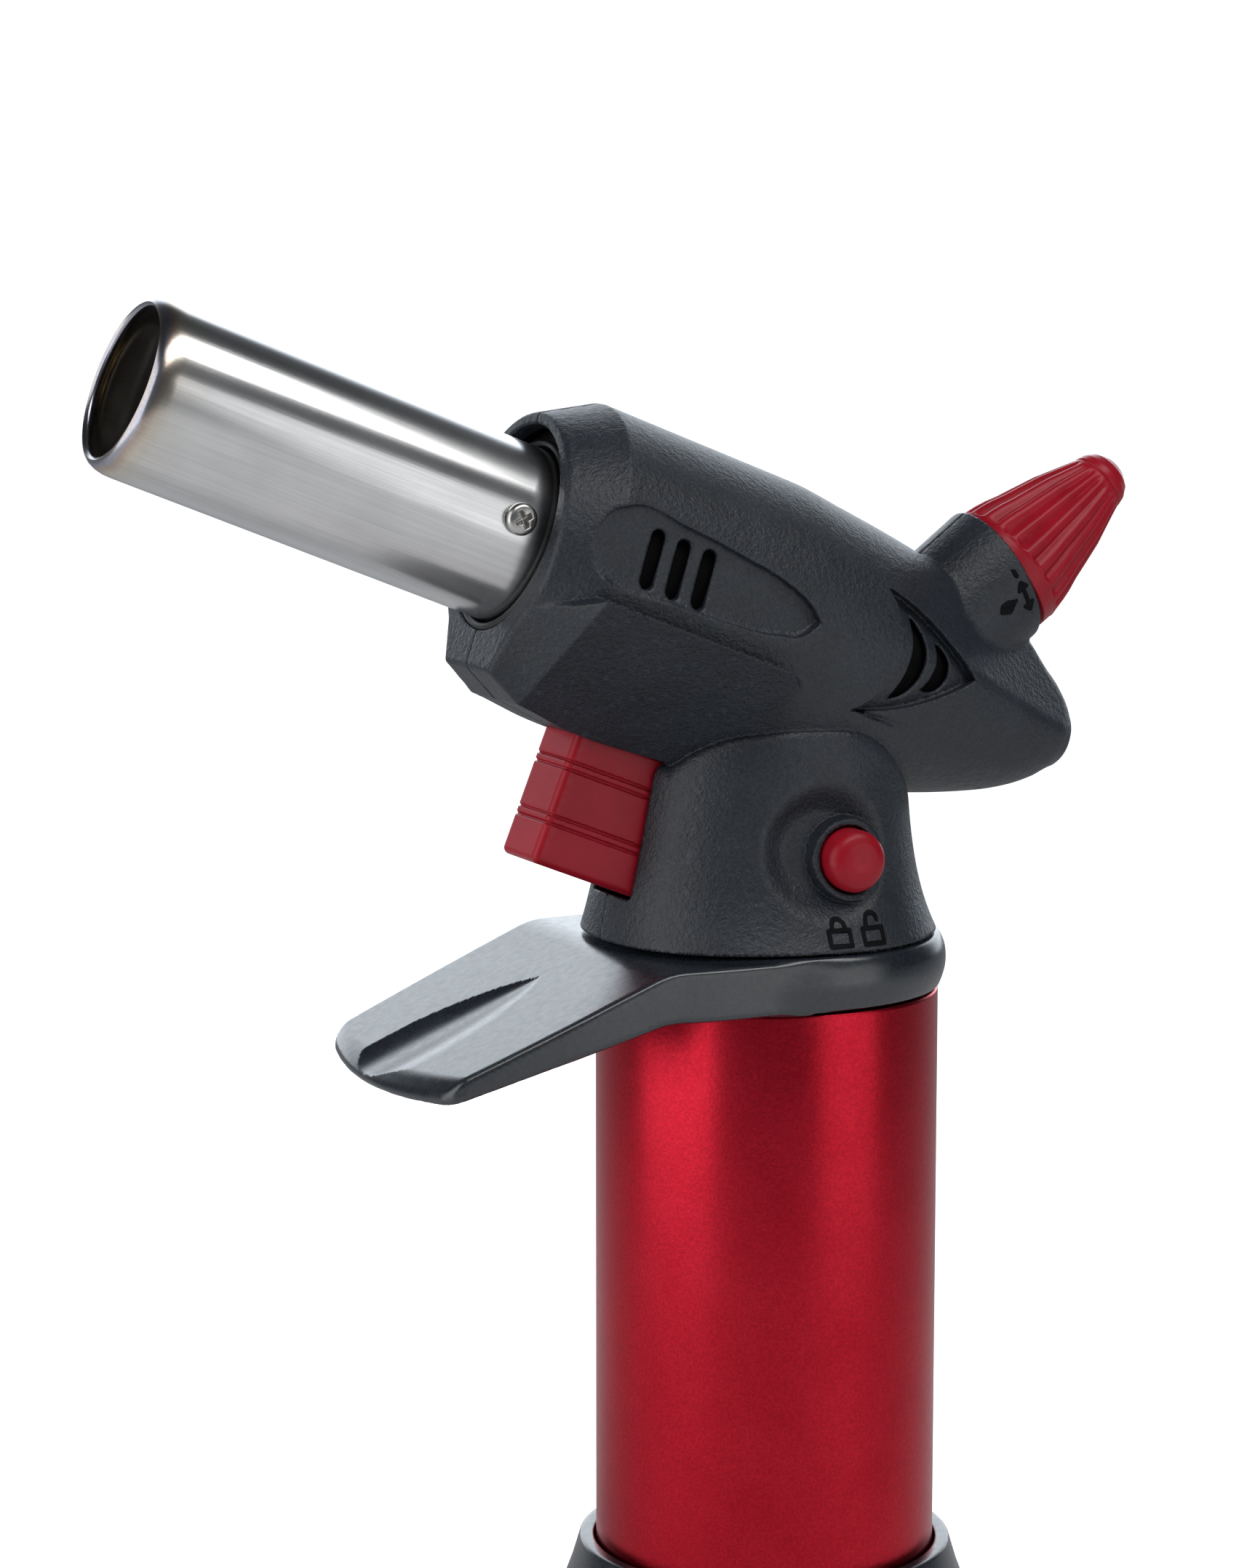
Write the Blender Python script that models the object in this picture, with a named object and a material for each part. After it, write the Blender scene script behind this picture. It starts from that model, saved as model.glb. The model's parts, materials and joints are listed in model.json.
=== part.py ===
"""Hand-held butane torch: a red fuel tank under a two-shell pistol head.

Lengths are in millimetres and angles in degrees until they reach Blender, which gets metres.
The head empty has its local Z along the flame and its local X up across the head.  The knob
empty has its local Z along the regulator.  The tank empty stands on the tank's axis at the
height of the joint between tank and handle.
"""
import bpy
import bmesh
from math import acos, cos, exp, pi, radians, sin, tan
from mathutils import Matrix, Vector

MM = 0.001
GAP = 0.3

# Where the three axes lie
TANK_AXIS_X = 19.48
SEAM_Z = 104.0
HEAD_TILT = 21.7
HEAD_RISE = 39.38
KNOB_TILT = 37.4
KNOB_SEAT = (36.06, 47.1)

# Tank, base and guard
TANK_R = 23.0
TANK_WALL = 1.2
TANK_BOTTOM = -95.0
TANK_SHOULDER = -7.6
TANK_NECK_R = 20.5
BASE_R = 31.0
GUARD_R = 24.2
GUARD_DEPTH = 7.2
GUARD_TIP_X = -57.5
GUARD_SLOPE = 22.6

# Head shells
WALL = 2.2
HEAD_R = 20.0
CHIN_DROP = 21.4
MOUTH_R = 13.6
MOUTH_S = 41.0
COLLAR_R = 9.9
SHELL_PARTING = 0.15

# Burner
TUBE_R = 11.68
TUBE_WALL = 0.7
TUBE_END = 96.2
INNER_TUBE_R = 8.0
MIXING_R = 5.0
ELECTRODE_T = 9.5
SIDE_SCREW_S = 44.7
SIDE_SCREW_T = 1.3

# Controls
TRIGGER_HALF = 5.3
TRIGGER_TRAVEL = 5.0
IGNITER_T = -12.5
LOCK_X = 2.7
LOCK_Z = 11.7
LOCK_R = 4.1
LOCK_FRONT_Y = -22.0
LEVER_PIVOT = (-2.5, -20.7)
STEM_X = -1.0
KNOB_LENGTH = 21.7
FLUTES = 18

# Finishes: colour, roughness, metallic
CHARCOAL = ((0.030, 0.034, 0.040, 1), 0.55, 0.0)
BLACK = ((0.016, 0.017, 0.020, 1), 0.38, 0.0)
RED_TANK = ((0.55, 0.012, 0.035, 1), 0.32, 0.9)
RED_PLASTIC = ((0.33, 0.020, 0.035, 1), 0.35, 0.0)
STEEL = ((0.62, 0.60, 0.58, 1), 0.28, 1.0)
DARK_STEEL = ((0.20, 0.19, 0.18, 1), 0.45, 1.0)
BRASS = ((0.70, 0.50, 0.20, 1), 0.30, 1.0)
CERAMIC = ((0.85, 0.83, 0.78, 1), 0.60, 0.0)
RUBBER = ((0.02, 0.02, 0.02, 1), 0.85, 0.0)
WIRE_COVER = ((0.10, 0.10, 0.11, 1), 0.50, 0.0)


# ---------------------------------------------------------------- building blocks

def clear_scene():
    for obj in list(bpy.data.objects):
        bpy.data.objects.remove(obj)


def axis_empty(name, x, z, lean=0, roll=0, parent=None):
    """An empty in the plane y = 0, leaning from +Z towards +X, or rolled from +Z towards -Y."""
    obj = bpy.data.objects.new(name, None)
    obj.location = (x * MM, 0, z * MM)
    obj.rotation_euler = (radians(roll), radians(lean), 0)
    obj.parent = parent
    bpy.context.collection.objects.link(obj)
    return obj


def dress(obj, finish):
    colour, roughness, metallic = finish
    material = bpy.data.materials.new(obj.name + "_finish")
    material.use_nodes = True
    shader = material.node_tree.nodes["Principled BSDF"]
    shader.inputs["Base Color"].default_value = colour
    shader.inputs["Roughness"].default_value = roughness
    shader.inputs["Metallic"].default_value = metallic
    obj.data.materials.append(material)


def place(name, data, parent, finish):
    """Put a mesh or curve in the scene under its empty: a piece, or a hidden cutter."""
    obj = bpy.data.objects.new(name, data)
    obj.parent = parent
    bpy.context.collection.objects.link(obj)
    if finish:
        dress(obj, finish)
    else:
        obj.hide_render = True
        obj.display_type = 'WIRE'
    return obj


def mesh_object(name, bm, parent, finish, smooth=True):
    """Turn a bmesh in millimetres into a closed, outward-facing mesh object in metres."""
    bmesh.ops.remove_doubles(bm, verts=bm.verts, dist=1e-4)
    bmesh.ops.recalc_face_normals(bm, faces=bm.faces)
    bmesh.ops.scale(bm, vec=(MM, MM, MM), verts=bm.verts)
    mesh = bpy.data.meshes.new(name)
    bm.to_mesh(mesh)
    bm.free()
    if smooth:
        mesh.shade_smooth()
        mesh.set_sharp_from_angle(angle=radians(35))
    return place(name, mesh, parent, finish)


def turned(name, outline, parent, finish, segments=24, centre=(0, 0)):
    """Spin an outline of (radius, height) points about a line along local Z."""
    bm = bmesh.new()
    cx, cy = centre
    verts = [bm.verts.new((cx + r, cy, h)) for r, h in outline]
    edges = [bm.edges.new(pair) for pair in zip(verts, verts[1:])]
    if outline[0][0] or outline[-1][0]:
        edges.append(bm.edges.new((verts[-1], verts[0])))
    bmesh.ops.spin(bm, geom=verts + edges, cent=(cx, cy, 0), axis=(0, 0, 1),
                   angle=2 * pi, steps=segments, use_duplicate=False)
    return mesh_object(name, bm, parent, finish)


def extruded(name, outline, low, high, parent, finish):
    """Extrude an outline of local (x, z) points along Y, from low to high."""
    bm = bmesh.new()
    face = bm.faces.new([bm.verts.new((x, low, z)) for x, z in outline])
    grown = bmesh.ops.extrude_face_region(bm, geom=[face])["geom"]
    moved = [v for v in grown if isinstance(v, bmesh.types.BMVert)]
    bmesh.ops.translate(bm, vec=(0, high - low, 0), verts=moved)
    return mesh_object(name, bm, parent, finish, smooth=False)


def lofted(name, rings, parent, finish):
    """Skin a list of rings, each with the same number of points, and cap both ends."""
    bm = bmesh.new()
    rows = [[bm.verts.new(p) for p in ring] for ring in rings]
    for near, far in zip(rows, rows[1:]):
        for i in range(len(near)):
            j = (i + 1) % len(near)
            bm.faces.new((near[i], near[j], far[j], far[i]))
    bm.faces.new(rows[0])
    bm.faces.new(rows[-1])
    bmesh.ops.triangulate(bm, faces=bm.faces)
    return mesh_object(name, bm, parent, finish)


def rod(name, radius, start, end, parent, finish=None, segments=16):
    """A plain cylinder between two local points; with no finish it is a cutter."""
    a, b = Vector(start), Vector(end)
    turn = (b - a).to_track_quat('Z', 'Y').to_matrix().to_4x4()
    bm = bmesh.new()
    bmesh.ops.create_cone(bm, cap_ends=True, segments=segments, radius1=radius, radius2=radius,
                          depth=(b - a).length, matrix=Matrix.Translation((a + b) / 2) @ turn)
    return mesh_object(name, bm, parent, finish)


def smooth_route(points, steps):
    """Points along a Catmull-Rom curve through the route."""
    route = [Vector(p) for p in points]
    route = [2 * route[0] - route[1]] + route + [2 * route[-1] - route[-2]]
    path = []
    for a, b, c, d in zip(route, route[1:], route[2:], route[3:]):
        for k in range(steps):
            t = k / steps
            path.append(0.5 * (2 * b + (c - a) * t + (2 * a - 5 * b + 4 * c - d) * t ** 2
                               + (3 * b - a - 3 * c + d) * t ** 3))
    return path + [route[-2]]


def wire(name, path, radius, parent, finish, sides):
    """A round wire of 4, 6 or 8 sides along a path of local points, with filled ends."""
    curve = bpy.data.curves.new(name, 'CURVE')
    curve.dimensions = '3D'
    curve.bevel_depth = radius * MM
    curve.bevel_resolution = (sides - 4) // 2
    curve.use_fill_caps = True
    spline = curve.splines.new('POLY')
    spline.points.add(len(path) - 1)
    for point, place_mm in zip(spline.points, path):
        point.co = (place_mm[0] * MM, place_mm[1] * MM, place_mm[2] * MM, 1)
    return place(name, curve, parent, finish)


def coil(name, radius, wire_radius, start, end, turns, parent, finish=STEEL):
    """A compression spring between two local points."""
    a, b = Vector(start), Vector(end)
    turn = (b - a).to_track_quat('Z', 'Y').to_matrix()
    count = turns * 8
    path = []
    for k in range(count + 1):
        angle = 2 * pi * turns * k / count
        spoke = Vector((radius * cos(angle), radius * sin(angle), (b - a).length * k / count))
        path.append(a + turn @ spoke)
    return wire(name, path, wire_radius, parent, finish, 4)


def combine(target, tool, operation='DIFFERENCE'):
    step = target.modifiers.new(tool.name, 'BOOLEAN')
    step.operation = operation
    step.object = tool
    step.solver = 'EXACT'


def head_point(s, t):
    """Tank-frame (x, z) of the head-frame place s along the flame and t above its axis."""
    tilt = radians(HEAD_TILT)
    return (-s * cos(tilt) + t * sin(tilt), HEAD_RISE + s * sin(tilt) + t * cos(tilt))


# ---------------------------------------------------------------- shells

def head_ring(s, radius, drop, inset=0.0, sides=28):
    """A round section of the head at s, flattened below into the chin by drop."""
    r0 = radius - inset
    flat = drop - inset
    corner_angle = radians(17)
    corner = flat / cos(corner_angle)
    tangent = corner_angle + (acos(r0 / corner) if corner > r0 else 0.0)
    ring = []
    for k in range(sides):
        angle = 2 * pi * k / sides
        below = abs(angle - pi)
        r = r0
        if below < tangent and corner > r0:
            r = min(flat / cos(below), r0 / cos(tangent - below))
        ring.append((r * cos(angle), r * sin(angle), s))
    return ring


def tail_ring(s, top, bottom, half, inset=0.0, sides=28):
    """An oval section of the tail at s, between top and bottom."""
    middle = (top + bottom) / 2
    tall = (top - bottom) / 2 - inset
    wide = half - inset
    return [(middle + tall * cos(2 * pi * k / sides), wide * sin(2 * pi * k / sides), s)
            for k in range(sides)]


def head_solid(name, parent, inset=0.0):
    """The head from the mouth to the tail, or its cavity when inset by the wall."""
    tail = [(2.6, 19.7, -19.8, 19.8), (-6.0, 18.8, -18.4, 18.9), (-15.0, 17.4, -15.6, 16.9),
            (-26.0, 15.0, -13.0, 13.6), (-37.5, 12.4, -9.6, 10.6), (-43.4, 8.8, -6.5, 8.0)]
    if not inset:
        tail += [(-46.9, 6.0, -3.7, 5.0), (-48.7, 3.3, 0.2, 1.8)]
    tail = [tail_ring(s, top, bottom, half, inset) for s, top, bottom, half in tail]
    front = [(MOUTH_S, 16.6, 17.4), (34.4, HEAD_R, 20.6), (26.8, HEAD_R, CHIN_DROP),
             (8.0, HEAD_R, CHIN_DROP - 0.6)]
    if inset:
        front[0] = (MOUTH_S - inset, 18.6, 18.9)
    front = [head_ring(s, radius, drop, inset) for s, radius, drop in front]
    return lofted(name, front + tail, parent, None)


def handle_solid(name, parent, low, inset=0.0, sides=28):
    """The flared handle between the guard and the head, blunter at the front than behind."""
    rings = []
    for z in (low, 3.0, 7.0, 12.0, 19.0, 33.0):
        flare = exp(-max(z, 0) / 9.0)
        back = 18.2 + 4.4 * flare - inset
        front = 18.6 + 6.0 * flare - inset
        wide = 17.3 + 5.9 * flare - inset
        ring = []
        for k in range(sides):
            angle = 2 * pi * k / sides
            reach = back if cos(angle) > 0 else front
            ring.append((reach * cos(angle), wide * sin(angle), z))
        rings.append(ring)
    return lofted(name, rings, parent, None)


def shell_screw_places():
    """Screw name, (x, z) in the tank frame, and how far out its head sits."""
    return [("shell_screw_chin", head_point(28.3, -16.3), 6.0),
            ("shell_screw_tail", head_point(-36.0, 1.0), 5.0),
            ("shell_screw_crown", head_point(22.0, 14.3), 8.5),
            ("shell_screw_heel", (13.2, 9.8), 8.5)]


def shell_cavity(tank, head, knob):
    """The space inside both shells, with the bosses left standing."""
    cavity = head_solid("cavity", head, WALL)
    combine(cavity, handle_solid("handle_cavity", tank, 2.6, WALL), 'UNION')
    combine(cavity, rod("collar_cavity", 7.6, (0, 0, -25), (0, 0, -3), knob), 'UNION')
    for name, (x, z), _ in shell_screw_places():
        combine(cavity, rod(name + "_boss", 4.0, (x, -30, z), (x, 30, z), tank, segments=12))
    px, pz = head_point(*LEVER_PIVOT)
    for side in (-1, 1):
        combine(cavity, rod(f"pivot_boss_{side}", 3.0, (px, 6.2 * side, pz),
                            (px, 30 * side, pz), tank, segments=12))
    combine(cavity, rod("lock_boss", 6.0, (LOCK_X, -30, LOCK_Z), (LOCK_X, -7, LOCK_Z), tank))
    return cavity


def shell_openings(tank, head, knob):
    """Everything that goes through the shells' walls."""
    px, pz = head_point(*LEVER_PIVOT)
    openings = [
        rod("mouth", MOUTH_R, (0, 0, 30), (0, 0, 50), head, segments=32),
        extruded("trigger_slot", [(-39.4, 0), (-39.4, 34), (-21.7, 34), (-21.7, 0)],
                 -TRIGGER_HALF - 0.35, TRIGGER_HALF + 0.35, head, None),
        rod("tank_neck_hole", 9.4, (0, 0, -2), (0, 0, 4), tank),
        rod("spindle_hole", 2.9, (0, 0, -8), (0, 0, 4), knob),
        rod("pivot_hole", 1.5, (px, -9.4, pz), (px, 9.4, pz), tank, segments=12)]
    for k in range(3):
        s = 20.8 + 3.85 * k
        openings.append(extruded(f"vent_{k}", [(-1.8, s - 1), (-1.8, s + 1), (6.1, s + 1),
                                               (6.1, s - 1)], -30, 30, head, None))
    openings.append(extruded("side_vent", [(7.0, -10.8), (2.0, -14.4), (-2.4, -11.2)],
                             -30, 30, head, None))
    return openings


def make_shells(tank, head, knob):
    cavity = shell_cavity(tank, head, knob)
    handle = handle_solid("handle_outside", tank, 0.2)
    collar = rod("collar_outside", COLLAR_R, (0, 0, -24), (0, 0, -GAP), knob, segments=32)
    openings = shell_openings(tank, head, knob)
    for name, side in (("shell_left", -1), ("shell_right", 1)):
        shell = head_solid(name, head)
        shell.hide_render = False
        shell.display_type = 'TEXTURED'
        combine(shell, handle, 'UNION')
        combine(shell, collar, 'UNION')
        near, far = sorted((SHELL_PARTING * side, -60 * side))
        combine(shell, extruded(name + "_parting", [(-90, -90), (-90, 90), (90, 90), (90, -90)],
                                near, far, head, None))
        for tool in [cavity] + openings:
            combine(shell, tool)
        dress(shell, CHARCOAL)
        for screw, (x, z), out in shell_screw_places():
            if side > 0:
                combine(shell, rod(screw + "_hole", 1.5, (x, -1, z), (x, 30, z), tank, segments=8))
                combine(shell, rod(screw + "_seat", 2.8, (x, out - GAP, z), (x, 30, z), tank,
                                   segments=12))
            else:
                combine(shell, rod(screw + "_thread", 1.5, (x, -6.5, z), (x, 1, z), tank,
                                   segments=8))
        if side < 0:
            combine(shell, rod("lock_hole", LOCK_R + GAP, (LOCK_X, -30, LOCK_Z),
                               (LOCK_X, -12, LOCK_Z), tank, segments=24))
            combine(shell, rod("lock_bore", 5.0, (LOCK_X, -15.3, LOCK_Z),
                               (LOCK_X, -8.3, LOCK_Z), tank, segments=24))
            combine(shell, rod("lock_pin_hole", 1.6, (LOCK_X, -12, LOCK_Z),
                               (LOCK_X, -3, LOCK_Z), tank, segments=12))


def make_shell_screws(tank):
    for name, (x, z), out in shell_screw_places():
        side = axis_empty(name + "_axis", x, z, roll=-90, parent=tank)
        turned(name, [(0, -6.0), (1.15, -5.4), (1.15, out), (2.5, out), (2.5, out + 1.2),
                      (1.6, out + 1.8), (0, out + 1.8)], side, STEEL, 12)


# ---------------------------------------------------------------- burner

def make_burner(head):
    inner = TUBE_R - TUBE_WALL
    tube = turned("burner_tube",
                  [(inner, 34), (TUBE_R, 34), (TUBE_R, 93.2), (11.35, 94.8), (10.4, TUBE_END),
                   (9.9, 95.7), (10.6, 94.2), (inner, 92.8)], head, STEEL, 32)
    plug = turned("burner_plug", [(5.3, 40), (10.7, 40), (10.7, 49), (5.3, 49)], head, BRASS)
    combine(plug, rod("insulator_notch", 1.5, (ELECTRODE_T, 0, 38), (ELECTRODE_T, 0, 51), head,
                      segments=12))
    screw_bore = rod("side_screw_bore", 1.4, (SIDE_SCREW_T, -20, SIDE_SCREW_S),
                     (SIDE_SCREW_T, 20, SIDE_SCREW_S), head, segments=12)
    combine(tube, screw_bore)
    combine(plug, screw_bore)
    for name, side in (("nozzle_screw_left", -1), ("nozzle_screw_right", 1)):
        axis = axis_empty(name + "_axis", SIDE_SCREW_T, SIDE_SCREW_S, roll=-90 * side, parent=head)
        seat = TUBE_R + 0.15
        turned(name, [(0, 6.5), (1.1, 6.5), (1.1, seat), (2.1, seat), (2.1, seat + 0.7),
                      (1.4, seat + 1.3), (0, seat + 1.4)], axis, STEEL, 16)
    mixing = turned("mixing_tube", [(3.7, 9), (MIXING_R, 9), (MIXING_R, 58), (3.7, 58)],
                    head, BRASS, 20)
    combine(mixing, rod("air_port", 2.0, (0, -10, 18), (0, 10, 18), head, segments=12))
    turned("gas_jet", [(0.6, 3.5), (3.4, 3.5), (3.4, 13), (1.3, 15.6), (0.6, 15.6)],
           head, BRASS, 16)
    turned("flame_holder", [(2.4, 58.3), (7.1, 58.3), (7.1, 61.5), (2.4, 61.5)],
           head, DARK_STEEL, 20)
    bore = INNER_TUBE_R - 0.6
    turned("inner_tube", [(bore, 52), (INNER_TUBE_R, 52), (INNER_TUBE_R, 89), (bore, 89)],
           head, DARK_STEEL)
    turned("nozzle_collar", [(12.0, 34.5), (15.3, 34.5), (15.3, 38.2), (13.2, 38.2),
                             (13.2, 40.3), (12.0, 40.3)], head, BLACK)
    turned("electrode_insulator", [(0.8, 30), (1.2, 30), (1.2, 66), (0.8, 66)], head, CERAMIC, 12,
           centre=(ELECTRODE_T, 0))
    rod("electrode", 0.5, (ELECTRODE_T, 0, 28), (ELECTRODE_T, 0, 88), head, DARK_STEEL, 8)


# ---------------------------------------------------------------- gas path and igniter

def make_regulator(tank, head, knob):
    turned("regulator_body", [(0, -28), (5.5, -28), (5.5, -9), (7.3, -9), (7.3, -6), (2.8, -6),
                              (2.8, -21), (0, -21)], knob, BRASS, 20)
    turned("regulator_spindle", [(0, -20.6), (1.2, -18.5), (2.5, -17.5), (2.5, -1), (2.2, -0.5),
                                 (2.2, 13.5), (0, 13.5)], knob, BRASS, 12)
    make_knob(knob)
    gas_route = [(3.1, 0, -13.6), (5.2, 0, -10.5), (4.6, 0, -6.5), (1.6, 0, -3.0), (0.2, 0, 0.2),
                 (0, 0, 3.1)]
    wire("gas_tube", smooth_route(gas_route, 4), 1.1, head, BRASS, 8)
    feed_route = [(-1, 5.4, 7.1), (-0.6, 8.2, 7.4), (1.5, 10.6, 10), (5, 11.2, 16.5),
                  (9.6, 9.6, 23.5), (14.2, 8.6, 28.5), (17.0, 6.6, 31.2)]
    wire("feed_tube", smooth_route(feed_route, 4), 1.1, tank, BRASS, 8)


def make_knob(knob):
    """The fluted knob: a smooth foot ring, tapered flutes and a domed cap."""
    stations = [(0.3, 9.2, 0), (1.6, 9.1, 0), (2.2, 9.0, 0.5), (5.9, 7.9, 0.5), (11.8, 6.4, 0.45),
                (17.6, 4.3, 0.3), (18.2, 4.1, 0), (20.4, 3.3, 0), (KNOB_LENGTH, 1.4, 0)]
    rings = []
    for height, radius, depth in stations:
        ring = []
        for k in range(2 * FLUTES):
            angle = pi * k / FLUTES
            r = radius - (depth if k % 2 else 0)
            ring.append((r * cos(angle), r * sin(angle), height))
        rings.append(ring)
    body = lofted("gas_knob", rings, knob, RED_PLASTIC)
    combine(body, rod("knob_bore", 2.5, (0, 0, -1), (0, 0, 14), knob, segments=12))


def make_igniter(tank, head):
    low, high = IGNITER_T - 3.5, IGNITER_T + 3.5
    body = extruded("igniter_body", [(low, -20), (low, -3), (high, -3), (high, -20)],
                    -4.8, 4.8, head, BLACK)
    combine(body, extruded("igniter_well", [(low + 0.7, -16), (low + 0.7, 0), (high - 0.7, 0),
                                            (high - 0.7, -16)], -4.0, 4.0, head, None))
    extruded("igniter_plunger", [(low + 1, -7), (low + 1, 4.4), (high - 1, 4.4), (high - 1, -7)],
             -3.7, 3.7, head, CERAMIC)
    coil("igniter_spring", 1.9, 0.3, (IGNITER_T, 0, -15.6), (IGNITER_T, 0, -7.5), 5, head)
    lead_route = [(-11.2, 0, -21.0), (-9.8, -3.2, -22.4), (-6.8, -6.2, -22.2),
                  (-2.2, -8.0, -19), (3.5, -8.6, -12), (6.6, -8.4, -2), (7.8, -6.4, 10),
                  (8.3, -3.2, 19), (9.2, -0.7, 24.5), (9.5, 0, 27.6)]
    wire("ignition_lead", smooth_route(lead_route, 4), 0.8, head, WIRE_COVER, 6)


def make_trigger(head):
    """The trigger's finger block, the post that works the igniter, and the lock arm."""
    trigger = extruded("trigger", [(-38.9, 4.7), (-38.9, 23.2), (-38.1, 24), (-22.0, 24),
                                   (-22.0, 8.4), (-9.6, 8.4), (-9.6, 4.7)],
                       -TRIGGER_HALF, TRIGGER_HALF, head, RED_PLASTIC)
    for side in (-1, 1):
        low, high = sorted((4.35 * side, 30 * side))
        combine(trigger, extruded(f"post_trim_{side}", [(-21.5, 0), (-21.5, 12), (-8, 12), (-8, 0)],
                                  low, high, head, None))
    arm = extruded("lock_arm", [(-27.0, -11.1), (-27.0, 6), (-22.4, 6), (-22.4, -11.1)],
                   -5.2, -3.7, head, None)
    combine(trigger, arm, 'UNION')
    combine(trigger, rod("lock_eye", 1.6, (-24.7, -8, -7.74), (-24.7, -2, -7.74), head,
                         segments=12))
    return trigger


def make_valve(tank):
    """The lift valve on the tank's head, its lever and the lever's pin."""
    axis = axis_empty("valve_axis", STEM_X, 0, parent=tank)
    turned("valve_body", [(0, 5.8), (5.0, 5.8), (5.0, 8.2), (3.3, 8.2), (3.3, 15.0), (2.5, 15.0),
                          (2.5, 9.0), (0, 9.0)], axis, BRASS, 16)
    turned("valve_cap", [(1.5, 15.3), (3.3, 15.3), (3.3, 16.4), (1.5, 16.4)], axis, BRASS, 12)
    turned("valve_stem", [(0, 9.3), (2.1, 9.3), (2.1, 10.4), (1.1, 10.4), (1.1, 19.1),
                          (2.0, 19.1), (2.0, 19.9), (0, 19.9)], axis, BRASS, 12)
    coil("valve_spring", 1.75, 0.25, (0, 0, 10.8), (0, 0, 14.9), 4, axis)

    px, pz = head_point(*LEVER_PIVOT)
    pivot = axis_empty("lever_axis", px, pz, parent=tank)
    foot_x, foot_z = head_point(4.3, -34.5)
    lever = extruded("valve_lever",
                     [(-2.0, -1.4), (foot_x - px, foot_z - pz), (foot_x - px + 1.8, foot_z - pz),
                      (-0.2, -2.1), (4.6, -2.3), (4.7, -0.9), (2.0, -0.45), (1.3, 1.3),
                      (-1.0, 1.5)],
                     -3.0, 3.0, pivot, STEEL)
    combine(lever, extruded("stem_fork", [(2.6, -5), (2.6, 5), (9, 5), (9, -5)], -1.5, 1.5, pivot,
                            None))
    combine(lever, rod("lever_bore", 1.35, (0, -5, 0), (0, 5, 0), pivot, segments=12))
    rod("lever_pin", 1.1, (0, -9, 0), (0, 9, 0), pivot, STEEL, 12)


def make_lock(tank):
    axis = axis_empty("lock_axis", LOCK_X, LOCK_Z, roll=-90, parent=tank)
    turned("lock_button", [(0, LOCK_FRONT_Y), (3.4, LOCK_FRONT_Y), (LOCK_R, LOCK_FRONT_Y + 0.7),
                           (LOCK_R, -14.9), (4.7, -14.9), (4.7, -13.9), (1.3, -13.9),
                           (1.3, -5.5), (0, -5.5)], axis, RED_PLASTIC, 24)
    coil("lock_spring", 2.4, 0.3, (0, 0, -13.5), (0, 0, -8.7), 4, axis)


# ---------------------------------------------------------------- tank, base and guard

def make_tank(tank):
    inside = TANK_R - TANK_WALL
    neck = TANK_NECK_R - TANK_WALL
    floor = TANK_BOTTOM + TANK_WALL
    turned("fuel_tank",
           [(4.8, TANK_BOTTOM), (21.4, TANK_BOTTOM), (TANK_R, TANK_BOTTOM + 1.6),
            (TANK_R, TANK_SHOULDER - 1.0), (22.2, TANK_SHOULDER), (TANK_NECK_R, TANK_SHOULDER),
            (TANK_NECK_R, -1.5), (neck, -1.5), (neck, TANK_SHOULDER - 1.3),
            (inside, TANK_SHOULDER - 2.9), (inside, floor + 0.6), (20.9, floor), (4.8, floor)],
           tank, RED_TANK, 32)
    turned("tank_head",
           [(1.5, -8), (19.0, -8), (19.0, -5.7), (17.2, -5.7), (17.2, -3.3), (19.0, -3.3),
            (19.0, -1.2), (9.0, -1.2), (9.0, 3.0), (12.0, 3.0), (12.0, 5.5), (1.5, 5.5)],
           tank, BRASS)
    seal = [(18.3 + 0.8 * cos(pi * k / 3), -4.5 + 0.8 * sin(pi * k / 3)) for k in range(6)]
    turned("tank_seal", seal, tank, RUBBER)
    turned("dip_tube", [(0.8, -80), (1.3, -80), (1.3, -8.3), (0.8, -8.3)], tank, CERAMIC, 12)
    turned("fill_valve_body",
           [(1.6, -100), (3.6, -100), (3.6, -97.3), (6.5, -97.3), (6.5, -95.3), (4.5, -95.3),
            (4.5, -84), (1.5, -84), (1.5, -86), (3.0, -86), (3.0, -97), (1.6, -97)],
           tank, BRASS, 16)
    turned("fill_valve_nut", [(5.5, -93.5), (8.0, -93.5), (8.0, -90.5), (5.5, -90.5)],
           tank, BRASS, 6)
    turned("fill_valve_stem", [(0, -101.5), (1.2, -101.5), (1.2, -96.6), (2.6, -96.6),
                               (2.6, -95.4), (1.1, -95.4), (1.1, -88), (0, -88)], tank, STEEL, 12)
    coil("fill_valve_spring", 2.0, 0.3, (0, 0, -95.0), (0, 0, -86.4), 5, tank)


def make_base(tank):
    foot = -SEAM_Z
    turned("foot_ring", [(24.5, foot), (30.4, foot), (30.4, foot + 1.6), (24.5, foot + 1.6)],
           tank, RUBBER, 32)
    turned("base_cup",
           [(10, foot + 5), (22.5, foot + 5), (24, foot + 1.9), (BASE_R - 0.4, foot + 1.9),
            (BASE_R, foot + 2.5), (BASE_R - 0.4, foot + 5), (26.4, foot + 16),
            (25.2, foot + 20), (TANK_R + GAP, foot + 20), (TANK_R + GAP, foot + 8.7),
            (10, foot + 8.7)], tank, BLACK, 32)


def guard_station(x, half):
    """A section of the guard's plate at x: two rows of points, bowed to the tip's arc."""
    out = max(0.0, -25.0 - x)
    top = -0.5 - out * tan(radians(GUARD_SLOPE))
    depth = 7.0 - out * 0.155
    bow = 2.9 * min(out / 25.0, 1.0)
    ring = []
    for row, order in ((top, range(-3, 4)), (top - depth, range(3, -4, -1))):
        for k in order:
            v = k / 3
            ring.append((x + bow * v * v, half * v, row))
    return ring


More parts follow.
